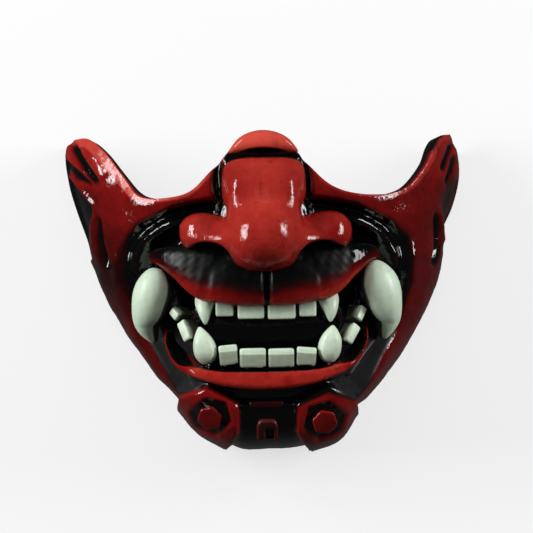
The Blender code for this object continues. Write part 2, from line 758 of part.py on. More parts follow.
def egg_field(points, lump):
    """Below 0 inside an egg shape and above 0 outside it, in metres near its skin."""
    centre = np.array([lump.across * HALF_WIDTH, lump.up * HALF_HEIGHT, lump.out * FORM_DEPTH])
    half = np.array([lump.half_across * HALF_WIDTH, lump.half_up * HALF_HEIGHT, lump.half_out * FORM_DEPTH])
    spread = np.sum(np.abs((points - centre) / half) ** lump.boxiness, axis=1)
    return (spread ** (1.0 / lump.boxiness) - 1.0) * half.min()


def melt(first, second, blend):
    """The two shapes run together with a soft join."""
    mix = np.clip(0.5 + 0.5 * (second - first) / blend, 0.0, 1.0)
    return second + (first - second) * mix - blend * mix * (1.0 - mix)


def nose_field(points):
    """Below 0 inside the nose."""
    field = egg_field(points, NOSE_LUMPS[0])
    for lump in NOSE_LUMPS[1:]:
        field = melt(field, egg_field(points, lump), LUMP_BLEND * HALF_WIDTH)
    for nostril in NOSTRILS:
        field = -melt(-field, egg_field(points, nostril), NOSTRIL_BLEND * HALF_WIDTH)
    return field


def make_nose(collection, fineness, grow=0.0):
    """The nose: a ball whose points are moved out to the skin of its egg shapes."""
    shape = bmesh.new()
    bmesh.ops.create_icosphere(shape, subdivisions=fineness, radius=1.0)
    rays = np.array([point.co[:] for point in shape.verts])
    rays /= np.linalg.norm(rays, axis=1, keepdims=True)
    middle = np.array(NOSE_MIDDLE) * (HALF_WIDTH, HALF_HEIGHT, FORM_DEPTH)
    near = np.zeros(len(rays))
    far = np.full(len(rays), NOSE_REACH * HALF_WIDTH)
    for _ in range(HALVINGS):
        reach = (near + far) / 2.0
        inside = nose_field(middle + rays * reach[:, None]) < grow
        near = np.where(inside, reach, near)
        far = np.where(inside, far, reach)
    move_to(shape, middle + rays * near[:, None])
    name = "nose" if grow == 0.0 else "nose_room"
    return finish_object(name, shape, "red", collection)


def seat_frame(spot, height, facing=0.0):
    """A frame on the mask at a spot: its third axis is square to the form, or turned to the front."""
    x = np.array([spot.across * HALF_WIDTH])
    y = np.array([spot.up * HALF_HEIGHT])
    origin = Vector(on_form(x, y, np.array([height]))[0])
    out = (Vector(form_normal(x, y)[0]) + Vector((0.0, 0.0, facing))).normalized()
    across = Vector((1.0, 0.0, 0.0))
    across = (across - out * across.dot(out)).normalized()
    up = out.cross(across)
    turned = Matrix((across, up, out)).transposed().to_4x4()
    return Matrix.Translation(origin) @ turned @ Matrix.Rotation(math.radians(spot.turn), 4, "Z")


def prism(radius, low, high, taper=1.0):
    """A six-sided block from one height to another."""
    shape = bmesh.new()
    bmesh.ops.create_cone(
        shape, cap_ends=True, segments=6, radius1=radius, radius2=radius * taper, depth=high - low)
    bmesh.ops.translate(shape, verts=shape.verts, vec=(0.0, 0.0, (low + high) / 2.0))
    return shape


def block(width, height, low, high, rounding=0.0):
    """A box from one height to another, whose two upper corners may be rounded."""
    shape = bmesh.new()
    bmesh.ops.create_cube(shape, size=1.0)
    bmesh.ops.scale(shape, verts=shape.verts, vec=(width, height, high - low))
    bmesh.ops.translate(shape, verts=shape.verts, vec=(0.0, 0.0, (low + high) / 2.0))
    if rounding > 0.0:
        corners = [
            edge for edge in shape.edges
            if all(point.co.y > 0.0 for point in edge.verts)
            and abs(edge.verts[0].co.z - edge.verts[1].co.z) > (high - low) / 2.0]
        bmesh.ops.bevel(
            shape, geom=corners, offset=rounding, segments=3, profile=0.5, affect="EDGES", material=-1)
    return shape


def make_bosses(parts, guides, shell):
    """Two six-sided bosses, each in a pocket in its chin plate."""
    plate = CHIN_PLATE.height * FOLD
    for spot in BOSSES:
        frame = seat_frame(spot, plate, BOSS_FACING)
        pocket = prism(POCKET_RADIUS, -POCKET_DEPTH, POCKET_RADIUS)
        pocket.transform(frame)
        cut_by(shell, as_cutter(finish_object("pocket_" + spot.name, pocket, "dark", guides)))
        boss = prism(BOSS_RADIUS, GAP - POCKET_DEPTH, BOSS_RISE - POCKET_DEPTH, BOSS_TAPER)
        boss.transform(frame)
        finish_object("chin_boss_" + spot.name, boss, "red", parts)


def make_chin_trim(parts, guides, seat):
    """The ledge and the small arch between the chin plates."""
    bar = block(BAR_WIDTH, BAR_HEIGHT, -WALL, TRIM_STAND)
    for point in bar.verts:
        if point.co.z > 0.0:
            point.co.x *= BAR_TAPER_ACROSS
            point.co.y *= BAR_TAPER_UP
    bar.transform(seat_frame(BAR, 0.0))
    cut_by(finish_object(BAR.name, bar, "red", parts), seat)
    frame = seat_frame(ARCH, 0.0, ARCH_FACING)
    arch = block(ARCH_WIDTH, ARCH_HEIGHT, -WALL, TRIM_STAND, ARCH_WIDTH * ARCH_ROUNDING)
    arch.transform(frame)
    notch_height = ARCH_HEIGHT * NOTCH_CLIMB
    notch = block(ARCH_NOTCH, notch_height, -2.0 * WALL, 2.0 * TRIM_STAND, ARCH_NOTCH * NOTCH_ROUNDING)
    notch_drop = (ARCH_HEIGHT - notch_height) / 2.0 + ARCH_HEIGHT * NOTCH_BELOW
    bmesh.ops.translate(notch, verts=notch.verts, vec=(ARCH_NOTCH * NOTCH_ASIDE, -notch_drop, 0.0))
    notch.transform(frame)
    notch_room = as_cutter(finish_object("notch_room", notch, "dark", guides))
    arch_piece = finish_object(ARCH.name, arch, "red", parts)
    cut_by(arch_piece, notch_room)
    cut_by(arch_piece, seat)


def make_mask():
    """All pieces of the mask, and the guides that seat them."""
    for thing in list(bpy.data.objects):
        bpy.data.objects.remove(thing)
    parts = bpy.data.collections.new("oni_half_mask")
    guides = bpy.data.collections.new("guides")
    bpy.context.scene.collection.children.link(parts)
    bpy.context.scene.collection.children.link(guides)

    shell = make_shell(parts)
    seat = make_seat(guides)
    nose = make_nose(parts, 4)
    cut_by(nose, seat)
    nose_room = as_cutter(make_nose(guides, 4, GAP))

    upper_lip = make_drawn(UPPER_LIP, parts)
    cut_by(upper_lip, seat)
    cut_by(upper_lip, nose_room)
    lip_room = as_cutter(make_drawn(UPPER_LIP, guides, GAP))
    for drawn in (LOWER_LIP, BRIDGE_CAP, TUSK_LEFT, TUSK_RIGHT):
        cut_by(make_drawn(drawn, parts), seat)
    for drawn in FANGS + tuple(flat_tooth(tooth) for tooth in FLAT_TEETH):
        piece = make_drawn(drawn, parts)
        cut_by(piece, seat, TWO_CUTS_SOLVER)
        if drawn.name.startswith("upper"):
            cut_by(piece, lip_room, TWO_CUTS_SOLVER)

    make_bosses(parts, guides, shell)
    make_chin_trim(parts, guides, seat)


make_mask()
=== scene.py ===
"""Looks of the oni half mask: red and black lacquer over sculpted folds, with painted light and shade in
the red, and bone teeth with wear and painted shade.

The mask lies on its rear rim with its face up. +X is right and +Y is towards the brow as one
looks at it, and +Z is out of the face. Places in the tables are millimetres across and up,
seen square to the mask, and heights are millimetres above the plain dome.
"""

import logging
import math
from dataclasses import dataclass
from enum import Enum
from typing import NamedTuple

import bmesh
import bpy
import numpy as np
from mathutils import Matrix, Vector
from mathutils.bvhtree import BVHTree


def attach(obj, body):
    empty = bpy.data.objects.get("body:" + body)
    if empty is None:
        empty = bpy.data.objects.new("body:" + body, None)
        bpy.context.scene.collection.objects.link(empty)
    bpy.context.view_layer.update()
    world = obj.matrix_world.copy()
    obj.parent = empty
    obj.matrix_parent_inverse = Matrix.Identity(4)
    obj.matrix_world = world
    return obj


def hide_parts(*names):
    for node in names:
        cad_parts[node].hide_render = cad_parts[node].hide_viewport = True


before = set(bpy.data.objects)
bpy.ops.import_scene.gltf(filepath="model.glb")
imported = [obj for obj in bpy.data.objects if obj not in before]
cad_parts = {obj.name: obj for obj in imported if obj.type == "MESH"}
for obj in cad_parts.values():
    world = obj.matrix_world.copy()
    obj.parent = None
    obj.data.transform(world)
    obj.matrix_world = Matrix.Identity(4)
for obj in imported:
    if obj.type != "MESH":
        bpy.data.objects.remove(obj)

MM = 0.001
BODY = "root"
LOG = logging.getLogger("oni_half_mask")
Array = np.ndarray
Place = tuple[float, float]
Socket = bpy.types.NodeSocket
Piece = bpy.types.Object
Paint = bpy.types.Material
Shape = bmesh.types.BMesh


def smooth_step(value: Array) -> Array:
    """A soft step from 0 to 1."""
    value = np.clip(value, 0.0, 1.0)
    return value * value * (3.0 - 2.0 * value)


def flow(keys: Array, values: Array, at: Array) -> Array:
    """Reads a table along a smooth curve through its rows.

    Args:
        keys: The rows' rising keys.
        values: The rows' values, one or several for each row.
        at: The keys to read at.

    Returns:
        The values at those keys.
    """
    keys = np.asarray(keys, dtype=float)
    values = np.asarray(values, dtype=float)
    slopes = np.gradient(values, keys, axis=0)
    at = np.clip(at, keys[0], keys[-1])
    cell = np.clip(np.searchsorted(keys, at, side="right") - 1, 0, len(keys) - 2)
    run = keys[cell + 1] - keys[cell]
    f = (at - keys[cell]) / run
    if values.ndim > 1:
        f = f[..., None]
        run = run[..., None]
    start = (2 * f ** 3 - 3 * f ** 2 + 1) * values[cell]
    end = (3 * f ** 2 - 2 * f ** 3) * values[cell + 1]
    bend = (f ** 3 - 2 * f ** 2 + f) * slopes[cell] + (f ** 3 - f ** 2) * slopes[cell + 1]
    return start + end + bend * run


def nearest_on(x: Array, y: Array, start: Array, end: Array) -> tuple[Array, Array]:
    """Measures how far places lie from a straight run.

    Args:
        x: The places across.
        y: The places up.
        start: Where the run starts.
        end: Where the run ends.

    Returns:
        The distances, and the shares of the run at its nearest points.
    """
    run = end - start
    along = ((x - start[0]) * run[0] + (y - start[1]) * run[1]) / (run @ run)
    along = np.clip(along, 0.0, 1.0)
    return np.hypot(x - start[0] - along * run[0], y - start[1] - along * run[1]), along


def wobble(x: Array, y: Array, scale: float, seed: float) -> Array:
    """A soft uneven pattern from -1 to 1, of waves that don't line up.

    Args:
        x: The places across.
        y: The places up.
        scale: The length of the longest wave.
        seed: A number that shifts the pattern.

    Returns:
        The pattern at those places.
    """
    total = np.zeros(np.shape(x))
    weight = 0.0
    for octave in range(4):
        turn = seed * 1.7 + octave * 2.4
        size = 2.0 * math.pi * 1.83 ** octave / scale
        along = x * math.cos(turn) + y * math.sin(turn)
        beside = y * math.cos(turn) - x * math.sin(turn)
        share = 0.62 ** octave
        total += share * np.sin(along * size + seed) * np.cos(beside * size * 0.87 + seed * 2.1)
        weight += share
    return total / weight


class Reach(NamedTuple):
    """How far the dome's outline lies from its centre, in shares, and how boxy it is there."""
    elevation: float
    left: float
    right: float
    boxiness: float


REACH = (
    Reach(-90, 1.270, 1.270, 13.0),
    Reach(-84, 1.275, 1.272, 12.5),
    Reach(-79, 1.226, 1.257, 14.0),
    Reach(-74, 1.180, 1.232, 13.5),
    Reach(-68, 1.092, 1.123, 12.0),
    Reach(-62, 1.015, 1.080, 9.0),
    Reach(-54, 0.940, 1.002, 5.8),
    Reach(-46, 0.891, 0.958, 4.0),
    Reach(-38, 0.868, 0.922, 3.0),
    Reach(-28, 0.845, 0.900, 2.7),
    Reach(-15, 0.863, 0.903, 2.4),
    Reach(-5, 0.877, 0.905, 2.3),
    Reach(5, 0.905, 0.904, 2.3),
    Reach(15, 0.983, 0.998, 2.2),
    Reach(25, 1.096, 1.104, 2.2),
    Reach(33, 1.196, 1.174, 2.2),
    Reach(45, 1.265, 1.255, 2.4),
    Reach(60, 1.330, 1.330, 2.7),
    Reach(90, 1.400, 1.400, 3.0),
)
TOP_LEFT: tuple[Place, ...] = (
    (0.000, 0.985), (-0.110, 0.948), (-0.176, 0.852), (-0.258, 0.744), (-0.338, 0.638),
    (-0.416, 0.598), (-0.537, 0.592), (-0.617, 0.632), (-0.697, 0.756), (-0.780, 0.894),
    (-0.863, 0.986), (-0.950, 0.996))
TOP_RIGHT: tuple[Place, ...] = (
    (0.000, 0.985), (0.110, 0.948), (0.172, 0.852), (0.285, 0.691), (0.361, 0.626),
    (0.441, 0.597), (0.520, 0.588), (0.610, 0.598), (0.702, 0.645), (0.795, 0.782),
    (0.834, 0.895), (0.874, 0.960), (0.950, 0.988))


@dataclass(frozen=True)
class Dome:
    """The plain form of the mask, on which every fold and piece is laid."""
    half_width: float = 98 * MM
    half_height: float = 78 * MM
    depth: float = 62 * MM
    centre_up: float = 0.282
    roundness: float = 1.8
    wing_left: float = 34.2
    wing_right: float = 31.2
    steps: int = 240

    def level(self, x: Array, y: Array) -> Array:
        """0 in the middle of the dome and 1 on its outline.

        Args:
            x: The places across.
            y: The places up.

        Returns:
            The levels at those places.
        """
        across = x / self.half_width
        up = y / self.half_height - self.centre_up
        elevation = np.degrees(np.arctan2(up, np.abs(across)))
        keys = [row.elevation for row in REACH]
        left = flow(keys, [row.left for row in REACH], elevation)
        right = flow(keys, [row.right for row in REACH], elevation)
        boxiness = flow(keys, [row.boxiness for row in REACH], elevation)
        return (np.hypot(across, up) / np.where(x < 0, left, right)) ** boxiness

    def height(self, x: Array, y: Array) -> Array:
        """The dome's height above the rear rim."""
        return self.depth * np.clip(1.0 - self.level(x, y), 0.0, 1.0) ** (1.0 / self.roundness)

    def normal(self, x: Array, y: Array) -> Array:
        """The direction square to the dome, out of the mask.

        Args:
            x: The places across.
            y: The places up.

        Returns:
            Directions of length 1.
        """
        step = 0.05 * MM
        slope_x = (self.level(x + step, y) - self.level(x - step, y)) / (2 * step)
        slope_y = (self.level(x, y + step) - self.level(x, y - step)) / (2 * step)
        rise = (self.height(x, y) / self.depth) ** (self.roundness - 1.0)
        normal = np.stack([slope_x, slope_y, self.roundness * rise / self.depth], axis=-1)
        return normal / np.linalg.norm(normal, axis=-1, keepdims=True)

    def lift(self, x: Array, y: Array, height: Array) -> Array:
        """Points at a height above the dome, square to it."""
        base = np.stack([x, y, self.height(x, y)], axis=-1)
        return base + self.normal(x, y) * np.asarray(height)[..., None]

    def shares(self, places: tuple[Place, ...]) -> Array:
        """Places in shares as lengths across and up."""
        return np.asarray(places, dtype=float) * (self.half_width, self.half_height)

    def jaw_edge(self, share: Array) -> Array:
        """The jaw's outline: -1 at the left wing, 0 under the chin and 1 at the right wing.

        Args:
            share: How far along the outline.

        Returns:
            The places across and up.
        """
        keys = [row.elevation for row in REACH]
        sides = []
        for sign, end in ((-1, self.wing_left), (1, self.wing_right)):
            reach = [row.left if sign < 0 else row.right for row in REACH]
            elevation = np.linspace(-90.0, end, self.steps)
            far = flow(keys, reach, elevation)
            across = sign * far * np.cos(np.radians(elevation))
            up = far * np.sin(np.radians(elevation)) + self.centre_up
            line = self.shares(tuple(zip(across, up)))
            sides.append(along_edge(line, np.abs(share)))
        return np.where((share < 0)[:, None], sides[0], sides[1])

    def top_line(self, rows: tuple[Place, ...]) -> Array:
        """One half of the upper edge as a fine line of places."""
        keys = np.linspace(0.0, 1.0, len(rows))
        return flow(keys, self.shares(rows), np.linspace(0.0, 1.0, self.steps))

    def top_edge(self, share: Array) -> Array:
        """The upper edge: -1 at the left wing, 0 at the bridge and 1 at the right wing."""
        sides = [along_edge(self.top_line(rows), np.abs(share)) for rows in (TOP_LEFT, TOP_RIGHT)]
        return np.where((share < 0)[:, None], sides[0], sides[1])

    def sheet_places(self, share: Array, climb: Array) -> tuple[Array, Array]:
        """Lays a grid over the mask in plan, with rows evenly spaced up each column.

        Args:
            share: Each point's column, from -1 at the left wing to 1 at the right one.
            climb: Each point's row, from 0 on the jaw's outline to 1 on the upper edge.

        Returns:
            The places across and up.
        """
        columns, column_of = np.unique(np.round(share, 6), return_inverse=True)
        column_of = column_of.reshape(-1)
        foot = self.jaw_edge(columns)
        head = self.top_edge(columns)
        steps = np.linspace(0.0, 1.0, self.steps) ** 2
        line = foot[:, None, :] + (head - foot)[:, None, :] * steps[None, :, None]
        height = self.height(line[..., 0], line[..., 1])
        run = np.sqrt(np.sum(np.diff(line, axis=1) ** 2, axis=2) + np.diff(height, axis=1) ** 2)
        length = np.concatenate([np.zeros((len(columns), 1)), np.cumsum(run, axis=1)], axis=1)
        length /= length[:, -1:]
        part = np.empty(len(share))
        for index in range(len(columns)):
            here = column_of == index
            part[here] = np.interp(climb[here], length[index], steps)
        place = foot[column_of] + (head - foot)[column_of] * part[:, None]
        return place[:, 0], place[:, 1]


def along_edge(points: Array, share: Array) -> Array:
    """The places at shares of the length of a line of points.

    Args:
        points: The line's points.
        share: The shares of its length.

    Returns:
        The places across and up.
    """
    steps = np.linalg.norm(np.diff(points, axis=0), axis=1)
    length = np.concatenate([[0.0], np.cumsum(steps)])
    at = share * length[-1]
    return np.stack([np.interp(at, length, points[:, 0]), np.interp(at, length, points[:, 1])], axis=-1)


DOME = Dome()


class Side(Enum):
    """On which side of the mask a stroke or a zone lies."""
    AS_DRAWN = "as drawn"
    BOTH = "both"


class Stroke(NamedTuple):
    """A ridge or groove along a path, and the black (above 0) or red (below 0) on it."""
    name: str
    side: Side
    half_width: float
    height: float
    paint: float
    paint_width: float
    path: tuple[Place, ...]


class Zone(NamedTuple):
    """A field inside a closed outline, raised or sunk, with a soft step, black or red."""
    name: str
    side: Side
    height: float
    softness: float
    paint: float
    outline: tuple[Place, ...]


def stroke_share(stroke: Stroke, x: Array, y: Array, half_width: float) -> Array:
    """How much of a stroke is at each place, fading out at both its ends.

    Args:
        stroke: The stroke.
        x: The places across.
        y: The places up.
        half_width: The half width to use.

    Returns:
        Shares from 0 to 1.
    """
    if stroke.side is Side.BOTH:
        x = np.abs(x)
    path = np.asarray(stroke.path, dtype=float) * MM
    reach = 3.0 * half_width
    low, high = path.min(axis=0) - reach, path.max(axis=0) + reach
    near = (x > low[0]) & (x < high[0]) & (y > low[1]) & (y < high[1])
    total = np.zeros(np.shape(x))
    if not near.any():
        return total
    keys = np.linspace(0.0, 1.0, len(path))
    smooth = flow(keys, path, np.linspace(0.0, 1.0, 5 * len(path)))
    best = np.full(near.sum(), 1.0)
    share = np.zeros(near.sum())
    for index in range(len(smooth) - 1):
        distance, along = nearest_on(x[near], y[near], smooth[index], smooth[index + 1])
        share = np.where(distance < best, (index + along) / (len(smooth) - 1), share)
        best = np.minimum(best, distance)
    ends = smooth_step(4.0 * share + 0.35) * smooth_step(4.0 * (1.0 - share) + 0.35)
    total[near] = ends * np.exp(-(best / half_width) ** 2)
    return total


def zone_share(zone: Zone, x: Array, y: Array, softness: float) -> Array:
    """How far each place lies inside a zone, from 0 outside to 1 inside.

    Args:
        zone: The zone.
        x: The places across.
        y: The places up.
        softness: The width of the step round it.

    Returns:
        Shares from 0 to 1.
    """
    if zone.side is Side.BOTH:
        return np.maximum(
            zone_share(zone._replace(side=Side.AS_DRAWN), x, y, softness),
            zone_share(zone._replace(side=Side.AS_DRAWN), -x, y, softness))
    outline = np.asarray(zone.outline, dtype=float) * MM
    edge = np.full(np.shape(x), 1.0)
    inside = np.zeros(np.shape(x), dtype=bool)
    for start, end in zip(outline, np.roll(outline, -1, axis=0)):
        edge = np.minimum(edge, nearest_on(x, y, start, end)[0])
        crosses = (start[1] > y) != (end[1] > y)
        run = np.where(end[1] == start[1], 1.0, end[1] - start[1])
        inside ^= crosses & (x < start[0] + (y - start[1]) * (end[0] - start[0]) / run)
    return smooth_step(np.where(inside, edge, -edge) / softness + 0.5)


ZONES = (
    Zone("mouth", Side.AS_DRAWN, -12.0, 6.0, 0.0, (
        (0, -1.6), (19.6, -1.2), (33, 1.6), (41, 9.4), (53.4, 15.6), (57.8, -3.1), (49, -18.3),
        (42.1, -29.2), (33.3, -35.9), (0, -38.2), (-33.3, -35.9), (-42.1, -29.2), (-49, -18.3),
        (-57.8, -3.1), (-53.4, 15.6), (-41, 9.4), (-33, 1.6), (-19.6, -1.2))),
    Zone("cheek", Side.BOTH, -5.5, 5.0, 0.0, (
        (21, 45), (42, 41), (58.8, 33.1), (67.6, 22), (68.6, 6), (64.7, -6), (59.8, -20),
        (52.9, -32), (44.6, -46), (36.3, -42.5), (39.2, -35), (50, -22), (53.9, -8), (49, 11.7),
        (40, 23.4), (24, 29.6))),
    Zone("chin_plate", Side.BOTH, 4.0, 1.6, 0.0, (
        (40.2, -47.8), (27.6, -43.0), (13.4, -51.2), (13.2, -64.0), (22, -79.6), (34, -79.6),
        (44, -62.4))),
    Zone("lip_valley", Side.AS_DRAWN, -3.0, 4.0, 0.0, (
        (-35.3, -41.3), (-27.4, -42.9), (-12.7, -51.1), (12.7, -51.1), (27.4, -42.9),
        (35.3, -41.3), (19.6, -43.7), (-19.6, -43.7))),
    Zone("wing_hollow", Side.AS_DRAWN, -2.4, 3.0, 1.0, (
        (-99, 60.5), (-93.5, 57.5), (-84.0, 45.0), (-83.6, 40), (-85.8, 34), (-86.0, 26), (-84.6, 20),
        (-90, 16), (-99, 40))),
    Zone("wing_slot_2", Side.AS_DRAWN, -2.4, 1.6, 1.0, (
        (-99.5, 69.6), (-96, 66.4), (-90.8, 61.8), (-83.6, 54.2), (-90, 57.3), (-99.5, 61.6))),
)
CHIN_PLATE = ZONES[2]
NOSE_CORE = Zone("nose_core", Side.AS_DRAWN, 8.5, 15.7, 0.0, (
    (-9.8, 54.6), (9.8, 54.6), (14.7, 32.8), (25.5, 25.7), (17.6, 20.3), (-17.6, 20.3),
    (-25.5, 25.7), (-14.7, 32.8)))
BLACK_FACE = Zone("black_face", Side.AS_DRAWN, 0.0, 3.2, 1.0, (
    (-21, 43.4), (-30, 42.3), (-42.3, 40), (-50, 38.2), (-59.2, 34.4), (-64.8, 29), (-68.4, 18),
    (-67.6, 6), (-64.2, -4.8), (-60.8, -15.3), (-55.2, -24.7), (-47.6, -39.1), (-43.6, -47.5),
    (-28.1, -43.3), (-13.5, -51.9), (-12.9, -68.2), (-15, -82), (17, -82), (13.1, -68.7),
    (14.2, -53.3), (28.8, -47.1), (43.2, -51.8), (49.5, -43.1), (54.4, -32.7), (60.9, -21.2),
    (66.2, -9.8), (69.8, 5.1), (70.6, 17), (68.8, 26.6), (61.5, 32.3), (47.2, 37.9), (36.2, 41),
    (24.3, 42.3), (20.5, 44), (18.4, 67), (-18.0, 67)))

JAW_PANEL = Zone("jaw_panel", Side.BOTH, 0.0, 6.0, 0.0, (
    (42, -8), (54, -8), (64, -20), (50, -50), (34, -50), (30, -40), (40, -28)))

L, B = Side.AS_DRAWN, Side.BOTH
STROKES = (
    Stroke("eye_groove", B, 2.4, -2.2, 1.0, 1.8, ((21, 43.7), (36, 41), (48, 37.5), (58.8, 31))),
    Stroke("brow_edge", B, 3.9, 1.2, 0.0, 1.0, ((23.5, 51.5), (40.8, 46), (54.9, 44.5), (66.6, 49.9))),
    Stroke("bridge_groove_left", L, 2.2, -3.0, 1.0, 2.2, ((-20.8, 64.7), (-21.8, 56), (-21.0, 43.7))),
    Stroke("bridge_groove_right", L, 2.0, -3.0, 1.0, 2.0, ((18.8, 65.5), (20.3, 56), (20.6, 43.7))),
    Stroke("middle_fold", B, 4.5, 5.2, 0.0, 1.0, (
        (36.3, 34.3), (48, 32.6), (57.8, 25.7), (62.7, 17.6), (63.9, 7.8))),
    Stroke("fold_red_left", L, 1.0, 0.0, -0.4, 1.5, (
        (-62.9, 9), (-61.6, 18.5), (-56.5, 25.6), (-48, 30.6), (-40, 32.6))),
    Stroke("fold_red_right", L, 1.0, 0.0, -0.4, 1.5, (
        (63.6, 9), (61.9, 18.6), (56.8, 25.8), (48.5, 31.0), (40, 33))),
    Stroke("lower_ridge_left", L, 1.5, 3.4, -0.5, 0.9, (
        (-51.5, -18), (-50, -23.2), (-43.1, -33.5), (-39.1, -40.3), (-35, -43.3))),
    Stroke("lower_ridge_right", L, 1.5, 3.4, -0.6, 0.9, (
        (56.3, -17), (54.8, -22.6), (48.2, -30.6), (42.8, -37.8), (39.4, -41.7))),
    Stroke("cheek_swell", B, 11.8, 2.8, 0.0, 1.0, ((32.3, 43.7), (54.9, 39.8), (72.5, 31.2), (78.4, 11.7))),
    Stroke("jaw_swell", B, 6.9, 2.0, 0.0, 1.0, ((77.4, 1.6), (70.6, -15.6), (60.8, -31.2), (49, -46.8))),
    Stroke("upper_gum", L, 5.9, 5.5, 0.0, 1.0, (
        (-34.3, -2.3), (-19.6, -5.5), (0, -6.6), (19.6, -5.5), (34.3, -2.3))),
    Stroke("lower_gum", B, 5.9, 6.0, 0.0, 1.0, (
        (-19.6, -30.4), (0, -31.2), (19.6, -30.4), (31.4, -26.5), (41.2, -17.2), (45.1, -5.5))),
    Stroke("wing_slot_1", L, 2.1, -3.0, 1.0, 2.0, (
        (-94.5, 76.0), (-90.6, 69.0), (-85.7, 61.4), (-79.9, 55.0))),
    Stroke("wing_ridge", L, 1.5, 2.0, -0.9, 1.1, (
        (-97.5, 63.4), (-93.0, 58.3), (-87.4, 51.0), (-82.2, 44.2))),
    Stroke("wing_bulge", L, 2.9, 1.6, -1.0, 2.5, ((-81.3, 41.5), (-81.5, 34), (-81.0, 27), (-79.4, 19.5))),
    Stroke("wing_groove", L, 1.6, -2.6, 1.0, 1.5, ((-80.0, 40), (-78.6, 32), (-77.6, 25), (-75.6, 14.5))),
    Stroke("wing_groove_foot", L, 1.7, -1.2, 1.0, 1.9, ((-77.8, 25), (-76.2, 19), (-75.0, 13))),
    Stroke("wing_sliver", L, 1.0, 0.0, 0.9, 1.3, ((80.6, 66.5), (82.2, 70.5), (84.4, 74.0), (88, 76.0))),
    Stroke("cap_groove", L, 1.4, -1.0, 1.0, 1.8, ((-18.6, 64.2), (0, 64.6), (18.8, 64.2))),
    Stroke("wing_slot_3", L, 1.8, -2.6, 1.0, 1.4, ((94.2, 72.6), (92.2, 67.5), (89.6, 62.0), (88.2, 58.2))),
    Stroke("wing_slot_4", L, 1.7, -2.2, 1.0, 1.3, ((95.6, 66.5), (94.3, 62), (92.6, 57), (90.8, 51.6))),
    Stroke("wing_shade", L, 4.4, -1.8, 0.30, 3.8, ((97, 56), (91.6, 44), (88.6, 32))),
    Stroke("wing_knob", L, 2.4, 2.4, -0.8, 1.7, ((85.6, 39), (86.0, 32), (85.4, 22))),
    Stroke("wing_crease", L, 1.4, -2.6, 1.0, 1.1, ((83.6, 38), (83.2, 29), (83.0, 22), (82.4, 14))),
    Stroke("wing_crease_foot", L, 1.6, -1.4, 1.0, 1.9, ((83.6, 22), (83.4, 18), (82.6, 12.5))),
    Stroke("wing_edge_left", L, 3.6, 1.8, -0.5, 2.0, ((-86.5, 74), (-81, 64.5), (-76.5, 56))),
    Stroke("wing_edge_right", L, 4.0, 2.2, -0.5, 2.0, ((86.5, 75), (81, 65), (75, 56), (67, 48.5))),
    Stroke("jaw_rim", B, 3.0, 0.9, 0.0, 1.0, (
        (71.6, 22), (70.6, 6), (66.6, -8), (61.8, -20.8), (55.2, -32), (47.0, -45.5))),
    Stroke("jaw_edge_left", L, 2.0, -0.5, 0.85, 2.0, (
        (-84.5, 18), (-82.5, 6), (-78.5, -8), (-71.5, -24), (-62, -40), (-52, -54))),
)


class Lump(NamedTuple):
    """One egg shape of the nose: its centre and half sizes, in millimetres, and its boxiness."""
    name: str
    across: float
    up: float
    out: float
    half_across: float
    half_up: float
    half_out: float
    boxiness: float


LUMPS = (
    Lump("bridge_top", 0.4, 52.8, 57.5, 19.4, 11.4, 17.5, 4.2),
    Lump("bridge_middle", 0.0, 41.0, 63.0, 17.1, 17.0, 21.0, 4.8),
    Lump("ball", 0.0, 26.6, 68.2, 18.6, 16.6, 26.0, 2.3),
    Lump("side_left", -29.2, 29.4, 60.8, 11.0, 9.4, 13.6, 2.3),
    Lump("side_right", 30.0, 28.8, 60.8, 11.6, 9.8, 13.6, 2.3),
    Lump("root_left", -18.6, 25.0, 64.5, 12.6, 7.0, 14.9, 2.0),
    Lump("root_right", 18.6, 24.2, 64.5, 12.6, 7.0, 14.9, 2.0),
)
NOSTRILS = (
    Lump("nostril_left", -26.2, 13.8, 66.0, 11.0, 10.6, 24.0, 2.2),
    Lump("nostril_right", 26.2, 13.3, 66.0, 11.2, 11.0, 24.0, 2.2),
)


class Dab(NamedTuple):
    """One place, in millimetres, and how bright the red is there, from 0 to 1: the paint's own tone
    together with painted light and shade.
    """
    across: float
    up: float
    tone_and_shading: float


# Painted light and shade with the paint's tone: the red is brighter on up-facing parts and the left wing,
# and darker down the jaws and on the right wing.
SHELL_DABS = (
    Dab(-92, 72, 0.56), Dab(-80, 62, 0.60), Dab(-70, 42, 0.36), Dab(-60, 44, 0.38), Dab(-45, 44, 0.40),
    Dab(-30, 50, 0.46), Dab(-77, 30, 0.12), Dab(-74, 10, -0.04), Dab(-70, -6, 0.08), Dab(-66, -20, 0.18),
    Dab(-58, -32, 0.18), Dab(-48, -48, 0.18), Dab(-88, 45, 0.16), Dab(-38, -58, 0.36), Dab(-20, -50, 0.44),
    Dab(-20, -72, 0.34), Dab(-36, -72, 0.32), Dab(92, 74, 0.50), Dab(84, 62, 0.38), Dab(76, 48, 0.26),
    Dab(60, 42, 0.34), Dab(45, 44, 0.40), Dab(30, 50, 0.46), Dab(82, 30, 0.20), Dab(78, 10, 0.14),
    Dab(73, -10, 0.18), Dab(66, -26, 0.26), Dab(52, -46, 0.26), Dab(93, 45, 0.10), Dab(38, -58, 0.36),
    Dab(20, -52, 0.42), Dab(20, -72, 0.34), Dab(36, -72, 0.32), Dab(0, 72, 0.70))
# Painted light and shade with the paint's tone: the nose is brightest on its bridge and darker towards its
# tip, which faces down.
NOSE_DABS = (
    Dab(0, 60, 0.78), Dab(-14, 50, 0.62), Dab(14, 50, 0.60), Dab(0, 45, 0.82), Dab(0, 30, 0.68),
    Dab(0, 17, 0.56), Dab(-28, 34, 0.72), Dab(-32, 25, 0.60), Dab(28, 34, 0.64), Dab(32, 24, 0.52))


